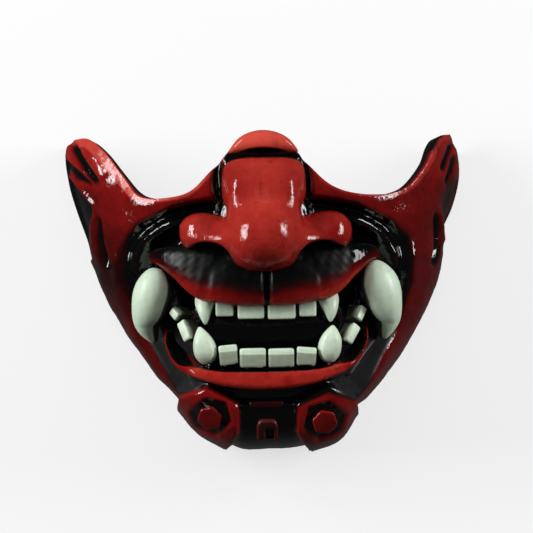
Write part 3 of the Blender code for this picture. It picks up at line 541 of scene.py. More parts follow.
def airbrush(dabs: tuple[Dab, ...], x: Array, y: Array) -> Array:
    """Blends a table of dabs softly over a surface.

    Args:
        dabs: The dabs.
        x: The places across.
        y: The places up.

    Returns:
        How bright the red is at those places, painted light and shade included.
    """
    total = np.zeros(np.shape(x))
    weight = np.zeros(np.shape(x))
    for dab in dabs:
        share = 1.0 / (np.hypot(x - dab.across * MM, y - dab.up * MM) + 3 * MM) ** 3
        total += share * dab.tone_and_shading
        weight += share
    return total / weight


class Station(NamedTuple):
    """One section of a drawn-out ball, in millimetres: its place, height and half sizes."""
    across: float
    up: float
    stand: float
    half_width: float
    half_depth: float


@dataclass(frozen=True)
class Drawn:
    """A ball drawn out along its stations, with how blunt its ends and sections are."""
    name: str
    stations: tuple[Station, ...]
    sides: int = 40
    rings: int = 48
    end_blunt: float = 2.4
    section_blunt: float = 2.3
    ragged: float = 0.0

    def points(self, ball: Array) -> Array:
        """Moves the points of a round ball to where they lie on this piece.

        Args:
            ball: The points of a ball of radius 1, with its poles up and down.

        Returns:
            The points on the mask.
        """
        polar = np.clip(ball[:, 2], -1.0, 1.0)
        turn = np.arctan2(ball[:, 1], ball[:, 0])
        rows = np.array(self.stations, dtype=float) * MM
        keys = np.linspace(0.0, 1.0, len(rows))
        at = (1.0 - polar) / 2.0
        row = flow(keys, rows, at)
        centre = DOME.lift(row[:, 0], row[:, 1], row[:, 2])
        step = 0.01
        ahead = flow(keys, rows, np.clip(at + step, 0.0, 1.0))
        behind = flow(keys, rows, np.clip(at - step, 0.0, 1.0))
        along = DOME.lift(*ahead[:, :3].T) - DOME.lift(*behind[:, :3].T)
        along /= np.linalg.norm(along, axis=1, keepdims=True)
        out = DOME.normal(row[:, 0], row[:, 1])
        out -= along * np.sum(out * along, axis=1, keepdims=True)
        out /= np.linalg.norm(out, axis=1, keepdims=True)
        side = np.cross(along, out)
        spread = (1.0 - np.abs(polar) ** self.end_blunt) ** (1.0 / self.end_blunt)
        power = 2.0 / self.section_blunt
        ring_side = np.sign(np.cos(turn)) * np.abs(np.cos(turn)) ** power * spread
        ring_out = np.sign(np.sin(turn)) * np.abs(np.sin(turn)) ** power * spread
        points = centre + side * (ring_side * row[:, 3])[:, None]
        return points + out * (ring_out * row[:, 4])[:, None]


def mirrored(stations: tuple[Station, ...]) -> tuple[Station, ...]:
    """Stations and their mirror images, for a piece that is nearly alike on both sides."""
    return tuple([s._replace(across=-s.across) for s in stations] + [
        s for s in reversed(stations) if s.across != 0.0])


UPPER_LIP = Drawn("upper_lip", mirrored((
    Station(54.6, 17.9, -1.6, 4.6, 4.8), Station(48.5, 18.6, 0.5, 5.6, 5.8),
    Station(39.2, 16.0, 1.5, 9.2, 7.5), Station(26.5, 10.9, 2.0, 13.9, 8.5),
    Station(11.8, 6.6, 2.5, 12.2, 9.0), Station(0.0, 5.9, 2.5, 11.6, 9.0))),
    sides=72, rings=260, end_blunt=3.6)
LOWER_LIP = Drawn("lower_lip", mirrored((
    Station(49.5, -16.8, -3.0, 1.3, 5.0), Station(46.1, -24.6, -2.0, 1.5, 5.6),
    Station(38.8, -33.1, -1.0, 1.9, 6.2), Station(24.5, -38.7, 0.0, 3.3, 7.6),
    Station(11.8, -40.4, 0.5, 4.3, 8.4), Station(0.0, -40.8, 0.5, 4.6, 8.5))),
    sides=64, rings=260, end_blunt=2.6, section_blunt=3.4)
BRIDGE_CAP = Drawn("bridge_cap", (
    Station(-15.7, 67.2, -1.0, 1.6, 4.0), Station(-8.6, 70.5, 0.5, 4.3, 5.5),
    Station(0.2, 71.7, 1.0, 5.3, 6.0), Station(9.2, 70.4, 0.5, 4.3, 5.5),
    Station(16.7, 67.2, -1.0, 1.6, 4.0)), sides=64, rings=96, end_blunt=2.6)
TUSKS = (
    Drawn("tusk_left", (
        Station(-51.2, 12.9, -0.5, 6.5, 7.0), Station(-51.9, 4.7, 2.0, 9.0, 9.0),
        Station(-53.5, -3.9, 3.0, 8.4, 9.0), Station(-54.5, -12.5, 3.0, 5.7, 7.0),
        Station(-52.7, -22.2, 1.0, 1.8, 3.5)), sides=64, rings=80, end_blunt=3.2, section_blunt=2.1),
    Drawn("tusk_right", (
        Station(51.0, 14.4, -0.5, 6.1, 7.0), Station(52.9, 5.5, 2.0, 9.2, 9.0),
        Station(54.6, -3.1, 3.0, 8.8, 9.0), Station(56.0, -12.1, 3.0, 6.1, 7.0),
        Station(54.9, -22.5, 1.0, 2.5, 4.0)), sides=64, rings=80, end_blunt=3.2, section_blunt=2.1),
)
CANINES = (
    Drawn("upper_canine_left", (
        Station(-29.4, 4.7, -6.0, 4.7, 5.5), Station(-29.6, -2.3, -3.5, 5.3, 5.0),
        Station(-29.1, -8.6, -1.5, 3.3, 4.0), Station(-28.8, -14.2, -1.0, 1.5, 2.5))),
    Drawn("upper_canine_right", (
        Station(30.6, 4.7, -6.0, 4.7, 5.5), Station(30.6, -2.3, -3.5, 5.4, 5.0),
        Station(30.8, -8.6, -1.5, 3.5, 4.0), Station(30.7, -14.0, -1.0, 1.7, 2.5))),
    Drawn("lower_canine_left", (
        Station(-28.6, -33.2, -4.0, 5.1, 5.0), Station(-29.2, -27.3, -3.0, 5.7, 5.5),
        Station(-30.4, -21.1, -1.5, 4.7, 4.5), Station(-31.8, -15.0, -1.0, 2.0, 2.8))),
    Drawn("lower_canine_right", (
        Station(29.6, -33.5, -4.0, 5.1, 5.0), Station(30.0, -27.3, -3.0, 5.7, 5.5),
        Station(31.0, -21.1, -1.5, 4.9, 4.5), Station(31.9, -15.4, -1.0, 2.2, 2.8))),
)


class Flat(NamedTuple):
    """A flat tooth, in millimetres: root and edge, height above the dome and half sizes."""
    name: str
    across: float
    up_root: float
    up_edge: float
    stand: float
    half_width: float
    half_depth: float
    lean: float
    ragged: float


FLAT_TEETH = (
    Flat("upper_incisor_1", -19.4, 0.8, -10.5, -3.0, 4.3, 4.8, 0.0, 0.0),
    Flat("upper_incisor_2", -7.0, -0.4, -11.9, -2.2, 6.3, 5.0, 0.0, 0.0),
    Flat("upper_incisor_3", 7.5, -0.4, -12.3, -2.2, 6.6, 5.0, 0.0, 0.0),
    Flat("upper_incisor_4", 19.8, 0.8, -11.3, -3.0, 4.1, 4.8, 0.0, 0.0),
    Flat("lower_incisor_1", -18.0, -33.4, -23.9, -2.8, 4.4, 4.8, -0.4, 0.8),
    Flat("lower_incisor_2", -6.5, -34.8, -25.6, -2.2, 6.2, 5.0, 0.0, 0.9),
    Flat("lower_incisor_3", 6.9, -34.9, -25.9, -2.2, 6.1, 5.0, 0.0, 0.9),
    Flat("lower_incisor_4", 18.7, -34.3, -25.6, -2.8, 4.7, 4.8, 0.4, 0.8),
    Flat("lower_premolar_left_1", -38.6, -21.4, -12.5, -3.5, 2.5, 4.6, -1.8, 0.0),
    Flat("lower_premolar_left_2", -43.3, -10.8, -7.0, -5.0, 2.1, 6.0, -1.6, 0.0),
    Flat("lower_premolar_right_1", 40.7, -23.9, -15.8, -3.5, 2.45, 4.6, 2.4, 0.0),
    Flat("lower_premolar_right_2", 45.3, -13.3, -7.2, -5.0, 2.0, 6.0, 1.5, 0.0),
)


def flat_tooth(tooth: Flat) -> Drawn:
    """A flat tooth as a drawn-out ball with blunt ends and a boxy section.

    Args:
        tooth: The flat tooth.

    Returns:
        The drawn-out ball.
    """
    stations = []
    for share in (0.0, 0.5, 1.0):
        across = tooth.across + tooth.lean * (share - 0.5) * 2.0
        up = tooth.up_root + (tooth.up_edge - tooth.up_root) * share
        stations.append(Station(across, up, tooth.stand, tooth.half_width, tooth.half_depth))
    return Drawn(tooth.name, tuple(stations), end_blunt=11.0, section_blunt=8.0, ragged=tooth.ragged)


class Graph:
    """The nodes of one material, with short ways to add and join them."""

    def __init__(self, name: str) -> None:
        """Starts a material with its shader.

        Args:
            name: The material's name.
        """
        self.material = bpy.data.materials.new(name)
        self.material.use_nodes = True
        self.tree = self.material.node_tree
        self.shader = self.tree.nodes["Principled BSDF"]
        self.place = self.tree.nodes.new("ShaderNodeTexCoord").outputs["Object"]

    def put(self, socket: Socket, value: object) -> None:
        """Joins a socket to another one, or sets its value.

        Args:
            socket: The socket.
            value: What it is joined to or set to.
        """
        if isinstance(value, Socket):
            self.tree.links.new(value, socket)
        else:
            socket.default_value = value

    def attribute(self, name: str) -> Socket:
        """A value that the piece's points carry."""
        node = self.tree.nodes.new("ShaderNodeAttribute")
        node.attribute_name = name
        return node.outputs["Fac"]

    def noise(self, scale: float, detail: float = 4.0, roughness: float = 0.55,
              stretch: tuple[float, float, float] = (1.0, 1.0, 1.0), turn: float = 0.0) -> Socket:
        """A noise pattern.

        Args:
            scale: How many waves there are in a metre.
            detail: How many finer patterns are added.
            roughness: How strong the finer patterns are.
            stretch: How much finer the pattern is along each axis.
            turn: How far the stretched pattern is turned, in degrees.

        Returns:
            The pattern, from 0 to 1.
        """
        mapping = self.tree.nodes.new("ShaderNodeMapping")
        mapping.inputs["Scale"].default_value = stretch
        mapping.inputs["Rotation"].default_value = (0.0, 0.0, math.radians(turn))
        self.tree.links.new(self.place, mapping.inputs["Vector"])
        node = self.tree.nodes.new("ShaderNodeTexNoise")
        self.tree.links.new(mapping.outputs[0], node.inputs["Vector"])
        node.inputs["Scale"].default_value = scale
        node.inputs["Detail"].default_value = detail
        node.inputs["Roughness"].default_value = roughness
        return node.outputs["Fac"]

    def sum(self, kind: str, first: object, second: object) -> Socket:
        """One step of arithmetic.

        Args:
            kind: The operation.
            first: The first value or socket.
            second: The second one.

        Returns:
            The result.
        """
        node = self.tree.nodes.new("ShaderNodeMath")
        node.operation = kind
        self.put(node.inputs[0], first)
        self.put(node.inputs[1], second)
        return node.outputs[0]

    def fit(self, value: Socket, low: float, high: float,
            start: float = 0.0, end: float = 1.0) -> Socket:
        """A value's range moved to another one, and kept in it.

        Args:
            value: The value.
            low: Where its range starts.
            high: Where its range ends.
            start: Where the new range starts.
            end: Where the new range ends.

        Returns:
            The new value.
        """
        node = self.tree.nodes.new("ShaderNodeMapRange")
        node.interpolation_type = "SMOOTHSTEP"
        for socket, number in zip(node.inputs, (value, low, high, start, end)):
            self.put(socket, number)
        return node.outputs[0]

    def about_zero(self, value: Socket, scale: float) -> Socket:
        """A pattern moved to lie about 0, times a scale."""
        return self.sum("MULTIPLY", self.sum("SUBTRACT", value, 0.5), scale)

    def ramp(self, value: Socket, colours: tuple[tuple[float, float, float], ...]) -> Socket:
        """A value from 0 to 1 turned into colours at even steps.

        Args:
            value: The value.
            colours: The colours, from 0 to 1.

        Returns:
            The colour.
        """
        node = self.tree.nodes.new("ShaderNodeValToRGB")
        stops = node.color_ramp.elements
        for index, colour in enumerate(colours):
            place = index / (len(colours) - 1)
            stop = stops[0] if index == 0 else stops[1] if index == 1 else stops.new(place)
            stop.position = place
            stop.color = (*colour, 1.0)
        self.tree.links.new(value, node.inputs[0])
        return node.outputs[0]

    def blend(self, share: object, first: object, second: object) -> Socket:
        """A mix of two colours.

        Args:
            share: How much of the second colour shows.
            first: The first colour.
            second: The second colour.

        Returns:
            The mixed colour.
        """
        node = self.tree.nodes.new("ShaderNodeMix")
        node.data_type = "RGBA"
        self.put(node.inputs["Factor"], share)
        self.put(node.inputs[6], first)
        self.put(node.inputs[7], second)
        return node.outputs[2]

    def bump(self, height: Socket, strength: float, distance: float) -> None:
        """Makes the surface look uneven.

        Args:
            height: The pattern.
            strength: How much of it shows.
            distance: Its height, in metres.
        """
        node = self.tree.nodes.new("ShaderNodeBump")
        node.inputs["Strength"].default_value = strength
        node.inputs["Distance"].default_value = distance
        self.tree.links.new(height, node.inputs["Height"])
        self.tree.links.new(node.outputs[0], self.shader.inputs["Normal"])


@dataclass(frozen=True)
class Lacquer:
    """Varnished red paint with a black wash. Each piece's soot says where it is black, and its brightness
    value how light the red is, which holds painted light and shade besides the paint's own tone.
    """
    reds: tuple[tuple[float, float, float], ...] = (
        (0.018, 0.0006, 0.0006), (0.115, 0.0022, 0.0022), (0.25, 0.006, 0.005), (0.44, 0.030, 0.020),
        (0.66, 0.078, 0.052))
    wash: tuple[float, float, float, float] = (0.030, 0.0012, 0.0012, 1.0)
    black: tuple[float, float, float, float] = (0.0012, 0.0016, 0.0016, 1.0)
    ash: tuple[float, float, float, float] = (0.024, 0.030, 0.022, 1.0)
    roughness: float = 0.07
    bend: float = 1.5
    crinkle: float = 1.0
    shadow: float = 0.30

    def material(self, name: str) -> Paint:
        """Builds the material.

        Args:
            name: The material's name.

        Returns:
            The material.
        """
        graph = Graph(name)
        soot = graph.attribute("soot")
        tone_and_shading = graph.attribute("tone_and_shading")
        ash = graph.attribute("ash")
        dull = graph.attribute("dull")
        edge = graph.noise(230, 6, 0.65)
        brush = graph.noise(150, 5, 0.7, (0.35, 1.6, 1.0), 18.0)
        loose = graph.sum("ADD", graph.about_zero(edge, 0.5), graph.about_zero(brush, 0.5))
        sooty = graph.fit(graph.sum("ADD", soot, loose), 0.30, 0.80)
        cloud = graph.noise(42, 4, 0.6)
        uneven = graph.sum("ADD", graph.about_zero(cloud, 0.36), graph.about_zero(edge, 0.26))
        # The red's brightness carries painted light and shade from each piece's values, with random
        # unevenness.
        lit = graph.sum("ADD", tone_and_shading, uneven)
        lit = graph.sum("SUBTRACT", lit, graph.sum("MULTIPLY", graph.fit(soot, 0.0, 0.6), self.shadow))
        red = graph.ramp(lit, self.reds)
        speck = graph.fit(graph.noise(300, 6, 0.75), 0.58, 0.80, 0.0, 0.7)
        red = graph.blend(speck, red, self.wash)
        stain = graph.fit(graph.noise(85, 5, 0.7, (1.5, 0.6, 1.0), 12.0), 0.56, 0.76, 0.0, 0.6)
        red = graph.blend(stain, red, self.wash)
        scratch = graph.noise(210, 6, 0.8, (0.5, 2.6, 1.0), -24.0)
        dusty = graph.fit(graph.sum("ADD", graph.sum("MULTIPLY", ash, 0.45), scratch), 0.66, 0.98)
        dark = graph.blend(dusty, self.black, self.ash)
        graph.put(graph.shader.inputs["Base Color"], graph.blend(sooty, red, dark))
        grain = graph.noise(150, 2, 0.5)
        fine = graph.noise(560, 3, 0.6)
        rough = graph.fit(graph.noise(260, 4, 0.6), 0.35, 0.75, self.roughness, self.roughness + 0.07)
        rough = graph.sum("ADD", rough, graph.sum("MULTIPLY", dull, 0.45))
        graph.put(graph.shader.inputs["Roughness"], rough)
        graph.put(graph.shader.inputs["IOR"], self.bend)
        graph.bump(graph.sum("ADD", graph.sum("MULTIPLY", grain, 3.0), fine), self.crinkle, 0.11 * MM)
        return graph.material


@dataclass(frozen=True)
class Bone:
    """Satin bone-white paint that is greener and darker towards the roots, partly as painted shade under
    the lips.
    """
    pale: tuple[float, float, float, float] = (0.70, 0.85, 0.66, 1.0)
    dull: tuple[float, float, float, float] = (0.24, 0.28, 0.21, 1.0)
    grime: tuple[float, float, float, float] = (0.05, 0.05, 0.035, 1.0)
    roughness: float = 0.38

    def material(self, name: str) -> Paint:
        """Builds the material.

        Args:
            name: The material's name.

        Returns:
            The material.
        """
        graph = Graph(name)
        wear_and_shade = graph.attribute("wear_and_shade")
        soot = graph.attribute("soot")
        cloud = graph.noise(90, 4, 0.6)
        streak = graph.noise(240, 5, 0.65, (2.0, 0.4, 1.0))
        # Darker where the piece's values say, towards the roots, as wear and painted shade.
        worn_and_shaded = graph.sum("ADD", wear_and_shade, graph.sum("MULTIPLY", graph.sum("SUBTRACT", cloud, 0.5), 0.7))
        worn_and_shaded = graph.sum("ADD", worn_and_shaded, graph.sum("MULTIPLY", graph.sum("SUBTRACT", streak, 0.5), 0.3))
        bone = graph.blend(graph.fit(worn_and_shaded, 0.1, 1.0), self.pale, self.dull)
        # Darker where the piece says, on the teeth's sides and back, and in streaks.
        dark_sides_and_dirt = graph.sum("ADD", soot, graph.sum("MULTIPLY", graph.sum("SUBTRACT", streak, 0.5), 0.5))
        bone = graph.blend(graph.fit(dark_sides_and_dirt, 0.45, 0.95), bone, self.grime)
        graph.put(graph.shader.inputs["Base Color"], bone)
        fine = graph.noise(700, 4, 0.6)
        rough = graph.fit(fine, 0.3, 0.8, self.roughness - 0.08, self.roughness + 0.12)
        graph.put(graph.shader.inputs["Roughness"], rough)
        graph.put(graph.shader.inputs["IOR"], 1.5)
        graph.put(graph.shader.inputs["Subsurface Weight"], 0.08)
        graph.put(graph.shader.inputs["Subsurface Scale"], 1.5 * MM)
        graph.bump(graph.sum("ADD", cloud, graph.sum("MULTIPLY", fine, 0.3)), 0.25, 0.8 * MM)
        return graph.material


class Slot(Enum):
    """Names of the material slots; no piece in this script is given one."""
    SHELL = "shell_paint"
    RED = "red_paint"
    LIP = "lip_paint"
    TOOTH = "tooth_paint"


def put_values(shape: Shape, name: str, values: Array) -> None:
    """Writes one number to each point of a mesh."""
    layer = shape.verts.layers.float.get(name) or shape.verts.layers.float.new(name)
    for point, value in zip(shape.verts, values):
        point[layer] = value


def move_to(shape: Shape, points: Array) -> None:
    """Puts the points of a mesh where an array says."""
    for point, place in zip(shape.verts, points):
        point.co = place


def finish_piece(name: str, shape: Shape, paint: Paint) -> Piece:
    """Turns a mesh in work into a piece that stands for the CAD node of the same name.

    Args:
        name: The node's name.
        shape: The mesh, which is used up.
        paint: Its material.

    Returns:
        The piece.
    """
    bmesh.ops.recalc_face_normals(shape, faces=shape.faces)
    if shape.calc_volume(signed=True) < 0.0:
        bmesh.ops.reverse_faces(shape, faces=shape.faces)
    mesh = bpy.data.meshes.new(name + "_look")
    shape.to_mesh(mesh)
    shape.free()
    mesh.shade_smooth()
    mesh.materials.append(paint)
    piece = bpy.data.objects.new(name + "_look", mesh)
    bpy.context.scene.collection.objects.link(piece)
    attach(piece, BODY)
    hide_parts(name)
    LOG.info("%s: %d faces", piece.name, len(mesh.polygons))
    return piece


@dataclass(frozen=True)
class Shell:
    """The hollow wall of the mask with its folds, plates and black and red paint."""
    columns: int = 300
    rows: int = 220
    wall: float = 4 * MM
    rim_fade: float = 6 * MM
    inner_reach: float = 5 * MM
    flat_row: float = 1e-6
    band_wide: float = 4.4 * MM
    band_narrow: float = 1.6 * MM
    uneven: float = 0.12 * MM
    edge_wear: float = 0.22
    paint_gain: float = 1.15
    band_dull: float = 0.3
    panel_dull: float = 1.9
    panel_ash: float = 0.55

    def relief(self, x: Array, y: Array) -> Array:
        """The height of all folds and fields above the dome.

        Args:
            x: The places across.
            y: The places up.

        Returns:
            The heights at those places, in metres.
        """
        total = np.zeros(np.shape(x))
        for zone in ZONES + tuple(ChinTrim.pockets()):
            total += zone.height * MM * zone_share(zone, x, y, zone.softness * MM)
        for stroke in STROKES:
            if stroke.height:
                total += stroke.height * MM * stroke_share(stroke, x, y, stroke.half_width * MM)
        return total

    def fade(self, x: Array, y: Array) -> Array:
        """0 at the rear rim, where folds end, and 1 above it."""
        return smooth_step(DOME.height(x, y) / self.rim_fade)

    def core(self, x: Array, y: Array) -> Array:
        """The low hill under the nose."""
        return NOSE_CORE.height * MM * zone_share(NOSE_CORE, x, y, NOSE_CORE.softness * MM)

    def outer(self, x: Array, y: Array) -> Array:
        """Points of the outer face."""
        uneven = self.uneven * wobble(x, y, 9 * MM, 1.0) + self.uneven * 0.5 * wobble(x, y, 3 * MM, 2.0)
        return DOME.lift(x, y, self.fade(x, y) * (self.relief(x, y) + self.core(x, y) + uneven))

    def inner(self, x: Array, y: Array) -> Array:
        """Points of the inner face, which sinks wherever a hollow would thin the wall.

        Args:
            x: The places across.
            y: The places up.

        Returns:
            The points.
        """
        lowest = np.minimum(self.relief(x, y), 0.0)
        for turn in np.linspace(0.0, 2.0 * math.pi, 8, endpoint=False):
            aside = self.inner_reach * math.cos(turn)
            ahead = self.inner_reach * math.sin(turn)
            lowest = np.minimum(lowest, self.relief(x + aside, y + ahead))
        return DOME.lift(x, y, self.fade(x, y) * (lowest + self.core(x, y)) - self.wall)

    def soot(self, x: Array, y: Array, seen: Array) -> Array:
        """How black each place of the outer face is painted.

        Args:
            x: The places across, on the dome.
            y: The places up, on the dome.
            seen: Where the places lie on the finished face.

        Returns:
            Shares from 0 to 1.
        """
        cheek = smooth_step((np.abs(x) - 45 * MM) / (15 * MM)) * smooth_step((y + 5 * MM) / (10 * MM))
        soft = BLACK_FACE.softness * (1.0 + 1.8 * cheek) * MM
        black = zone_share(BLACK_FACE, seen[:, 0], seen[:, 1], soft)
        for zone in ZONES + tuple(ChinTrim.pockets()):
            if zone.paint > 0.0:
                black = np.maximum(black, zone.paint * zone_share(zone, x, y, zone.softness * MM))
        for stroke in STROKES:
            if stroke.paint > 0.0:
                share = stroke_share(stroke, x, y, stroke.paint_width * MM)
                black = np.maximum(black, stroke.paint * share * self.paint_gain)
        for stroke in STROKES:
            if stroke.paint < 0.0:
                black *= 1.0 + stroke.paint * stroke_share(stroke, x, y, stroke.paint_width * MM)
        near_rim = 1.0 - smooth_step(DOME.height(x, y) / (2.5 * MM))
        near_rim *= smooth_step((y + 68 * MM) / (8 * MM))
        return np.clip(np.maximum(black, near_rim), 0.0, 1.0)

    def band(self, x: Array, y: Array) -> Array:
        """1 on the flat band along the upper edge and 0 beside it.

        Args:
            x: The places across.
            y: The places up.

        Returns:
            Shares from 0 to 1.
        """
        distance = np.full(np.shape(x), 1.0)
        for rows in (TOP_LEFT, TOP_RIGHT):
            line = DOME.top_line(rows)[::6]
            for start, end in zip(line[:-1], line[1:]):
                distance = np.minimum(distance, nearest_on(x, y, start, end)[0])
        outwards = smooth_step((np.abs(x) - 50 * MM) / (28 * MM))
        wide = self.band_narrow + (self.band_wide - self.band_narrow) * outwards
        wide = np.where(x < 0, wide, 0.6 * wide)
        return 1.0 - smooth_step((distance - wide) / (1.2 * MM) + 0.5)

    def tone_and_shading(self, x: Array, y: Array) -> Array:
        """How bright the red is: the dabs' tone with painted light and shade, lighter round the chin
        plates' edges, and a painted highlight on the band along the upper edge.

        Args:
            x: The places across.
            y: The places up.

        Returns:
            Shares from 0 to 1.
        """
        base = airbrush(SHELL_DABS, x, y)
        plate = zone_share(CHIN_PLATE, x, y, 2.4 * MM)
        base += self.edge_wear * 4.0 * plate * (1.0 - plate)
        # Painted highlight: the band along the upper edge is made bright red, more so on the left.
        return base + (np.where(x < 0, 0.85, 0.60) - base) * self.band(x, y)

    def sheet(self, columns: int, rows: int, outside: bool) -> Shape:
        """One face of the wall, with its lowest row flat on the rear rim.

        Args:
            columns: How many columns it has.
            rows: How many rows it has.
            outside: Whether it is the outer face.

        Returns:
            The open sheet.
        """
        shape = bmesh.new()
        bmesh.ops.create_grid(shape, x_segments=columns, y_segments=rows, size=1.0)
        flat = np.array([point.co[:] for point in shape.verts])
        share, climb = flat[:, 0], (flat[:, 1] + 1.0) / 2.0
        x, y = DOME.sheet_places(share, climb)
        points = self.outer(x, y) if outside else self.inner(x, y)
        points[climb < self.flat_row, 2] = 0.0
        move_to(shape, points)
        ones = np.ones(len(x))
        soot = self.soot(x, y, points) if outside else ones
        put_values(shape, "soot", soot)
        put_values(shape, "tone_and_shading", self.tone_and_shading(x, y) if outside else 0.0 * ones)
        panel = zone_share(JAW_PANEL, x, y, JAW_PANEL.softness * MM) * soot
        ash = 0.15 * smooth_step((42 * MM - np.abs(x)) / (6 * MM)) - 0.3
        put_values(shape, "ash", ash + self.panel_ash * panel)
        dull = self.band_dull * self.band(x, y) + self.panel_dull * panel
        put_values(shape, "dull", dull if outside else 0.8 * ones)
        return shape

    def build(self, paint: Paint) -> Piece:
        """Joins the outer and the inner face by a rim.

        Args:
            paint: Its material.

        Returns:
            The piece.
        """
        shape = self.sheet(self.columns, self.rows, True)
        inner = self.sheet(self.columns // 2, self.rows // 2, False)
        spare = bpy.data.meshes.new("inner_wall")
        inner.to_mesh(spare)
        inner.free()
        shape.from_mesh(spare)
        bpy.data.meshes.remove(spare)
        bmesh.ops.bridge_loops(shape, edges=[edge for edge in shape.edges if edge.is_boundary])
        return finish_piece("mask_shell", shape, paint)


class Bed:
    """The shell's outer face, up to which the hidden sides of all pieces on it are brought."""
    ceiling: float = 200 * MM
    depth: float = 1.2 * MM

    def __init__(self, face: Shape) -> None:
        """Keeps the face for measuring, and lets go of its mesh."""
        self.tree = BVHTree.FromBMesh(face)
        face.free()

    def seat(self, points: Array) -> Array:
        """Brings the points that lie deep in the wall up to just under its face.

        Args:
            points: The points of a piece.

        Returns:
            The points, none of them deeper in the wall than the bed's depth.
        """
        down = Vector((0.0, 0.0, -1.0))
        seated = points.copy()
        for index, point in enumerate(points):
            place = self.tree.ray_cast(Vector((point[0], point[1], self.ceiling)), down)[0]
            if place is not None:
                seated[index, 2] = max(point[2], place.z - self.depth)
        return seated


@dataclass(frozen=True)
class Nose:
    """The broad nose: a ball whose points are moved out to the skin of its egg shapes."""
    fineness: int = 7
    middle: tuple[float, float, float] = (0.0, 31.2, 59.5)
    reach: float = 69 * MM
    blend: float = 5.0 * MM
    nostril_blend: float = 2.0 * MM
    halvings: int = 22
    uneven: float = 0.15 * MM

    def egg(self, points: Array, lump: Lump) -> Array:
        """Below 0 inside an egg shape, and about metres near its skin.

        Args:
            points: The points.
            lump: The egg shape.

        Returns:
            The values at those points.
        """
        centre = np.array([lump.across, lump.up, lump.out]) * MM
        half = np.array([lump.half_across, lump.half_up, lump.half_out]) * MM
        spread = np.sum(np.abs((points - centre) / half) ** lump.boxiness, axis=1)
        return (spread ** (1.0 / lump.boxiness) - 1.0) * half.min()

    def melt(self, first: Array, second: Array, blend: float) -> Array:
        """Two shapes run together with a soft join."""
        mix = np.clip(0.5 + 0.5 * (second - first) / blend, 0.0, 1.0)
        return second + (first - second) * mix - blend * mix * (1.0 - mix)

    def field(self, points: Array) -> Array:
        """Below 0 inside the nose.

        Args:
            points: The points.

        Returns:
            The values at those points.
        """
        field = self.egg(points, LUMPS[0])
        for lump in LUMPS[1:]:
            field = self.melt(field, self.egg(points, lump), self.blend)
        for nostril in NOSTRILS:
            field = -self.melt(-field, self.egg(points, nostril), self.nostril_blend)
        return field

    def build(self, paint: Paint, bed: Bed) -> Piece:
        """Makes the nose and paints its nostrils black.

        Args:
            paint: Its material.
            bed: The shell's face under it.

        Returns:
            The piece.
        """
        shape = bmesh.new()
        bmesh.ops.create_icosphere(shape, subdivisions=self.fineness, radius=1.0)
        rays = np.array([point.co[:] for point in shape.verts])
        rays /= np.linalg.norm(rays, axis=1, keepdims=True)
        middle = np.array(self.middle) * MM
        near = np.zeros(len(rays))
        far = np.full(len(rays), self.reach)
        for _ in range(self.halvings):
            half = (near + far) / 2.0
            inside = self.field(middle + rays * half[:, None]) < 0.0
            near = np.where(inside, half, near)
            far = np.where(inside, far, half)
        points = middle + rays * near[:, None]
        points += rays * (self.uneven * wobble(points[:, 0], points[:, 1], 11 * MM, 3.0))[:, None]
        points = bed.seat(points)
        move_to(shape, points)
        soot = np.zeros(len(points))
        for nostril in NOSTRILS:
            soot = np.maximum(soot, 1.0 - smooth_step(self.egg(points, nostril) / (1.6 * MM) - 0.2))
        low = 1.0 - smooth_step((points[:, 2] - 60 * MM) / (8 * MM))
        put_values(shape, "soot", np.maximum(soot, low * 0.9))
        put_values(shape, "tone_and_shading", airbrush(NOSE_DABS, points[:, 0], points[:, 1]))
        put_values(shape, "ash", np.full(len(points), 0.1))
        return finish_piece("nose", shape, paint)


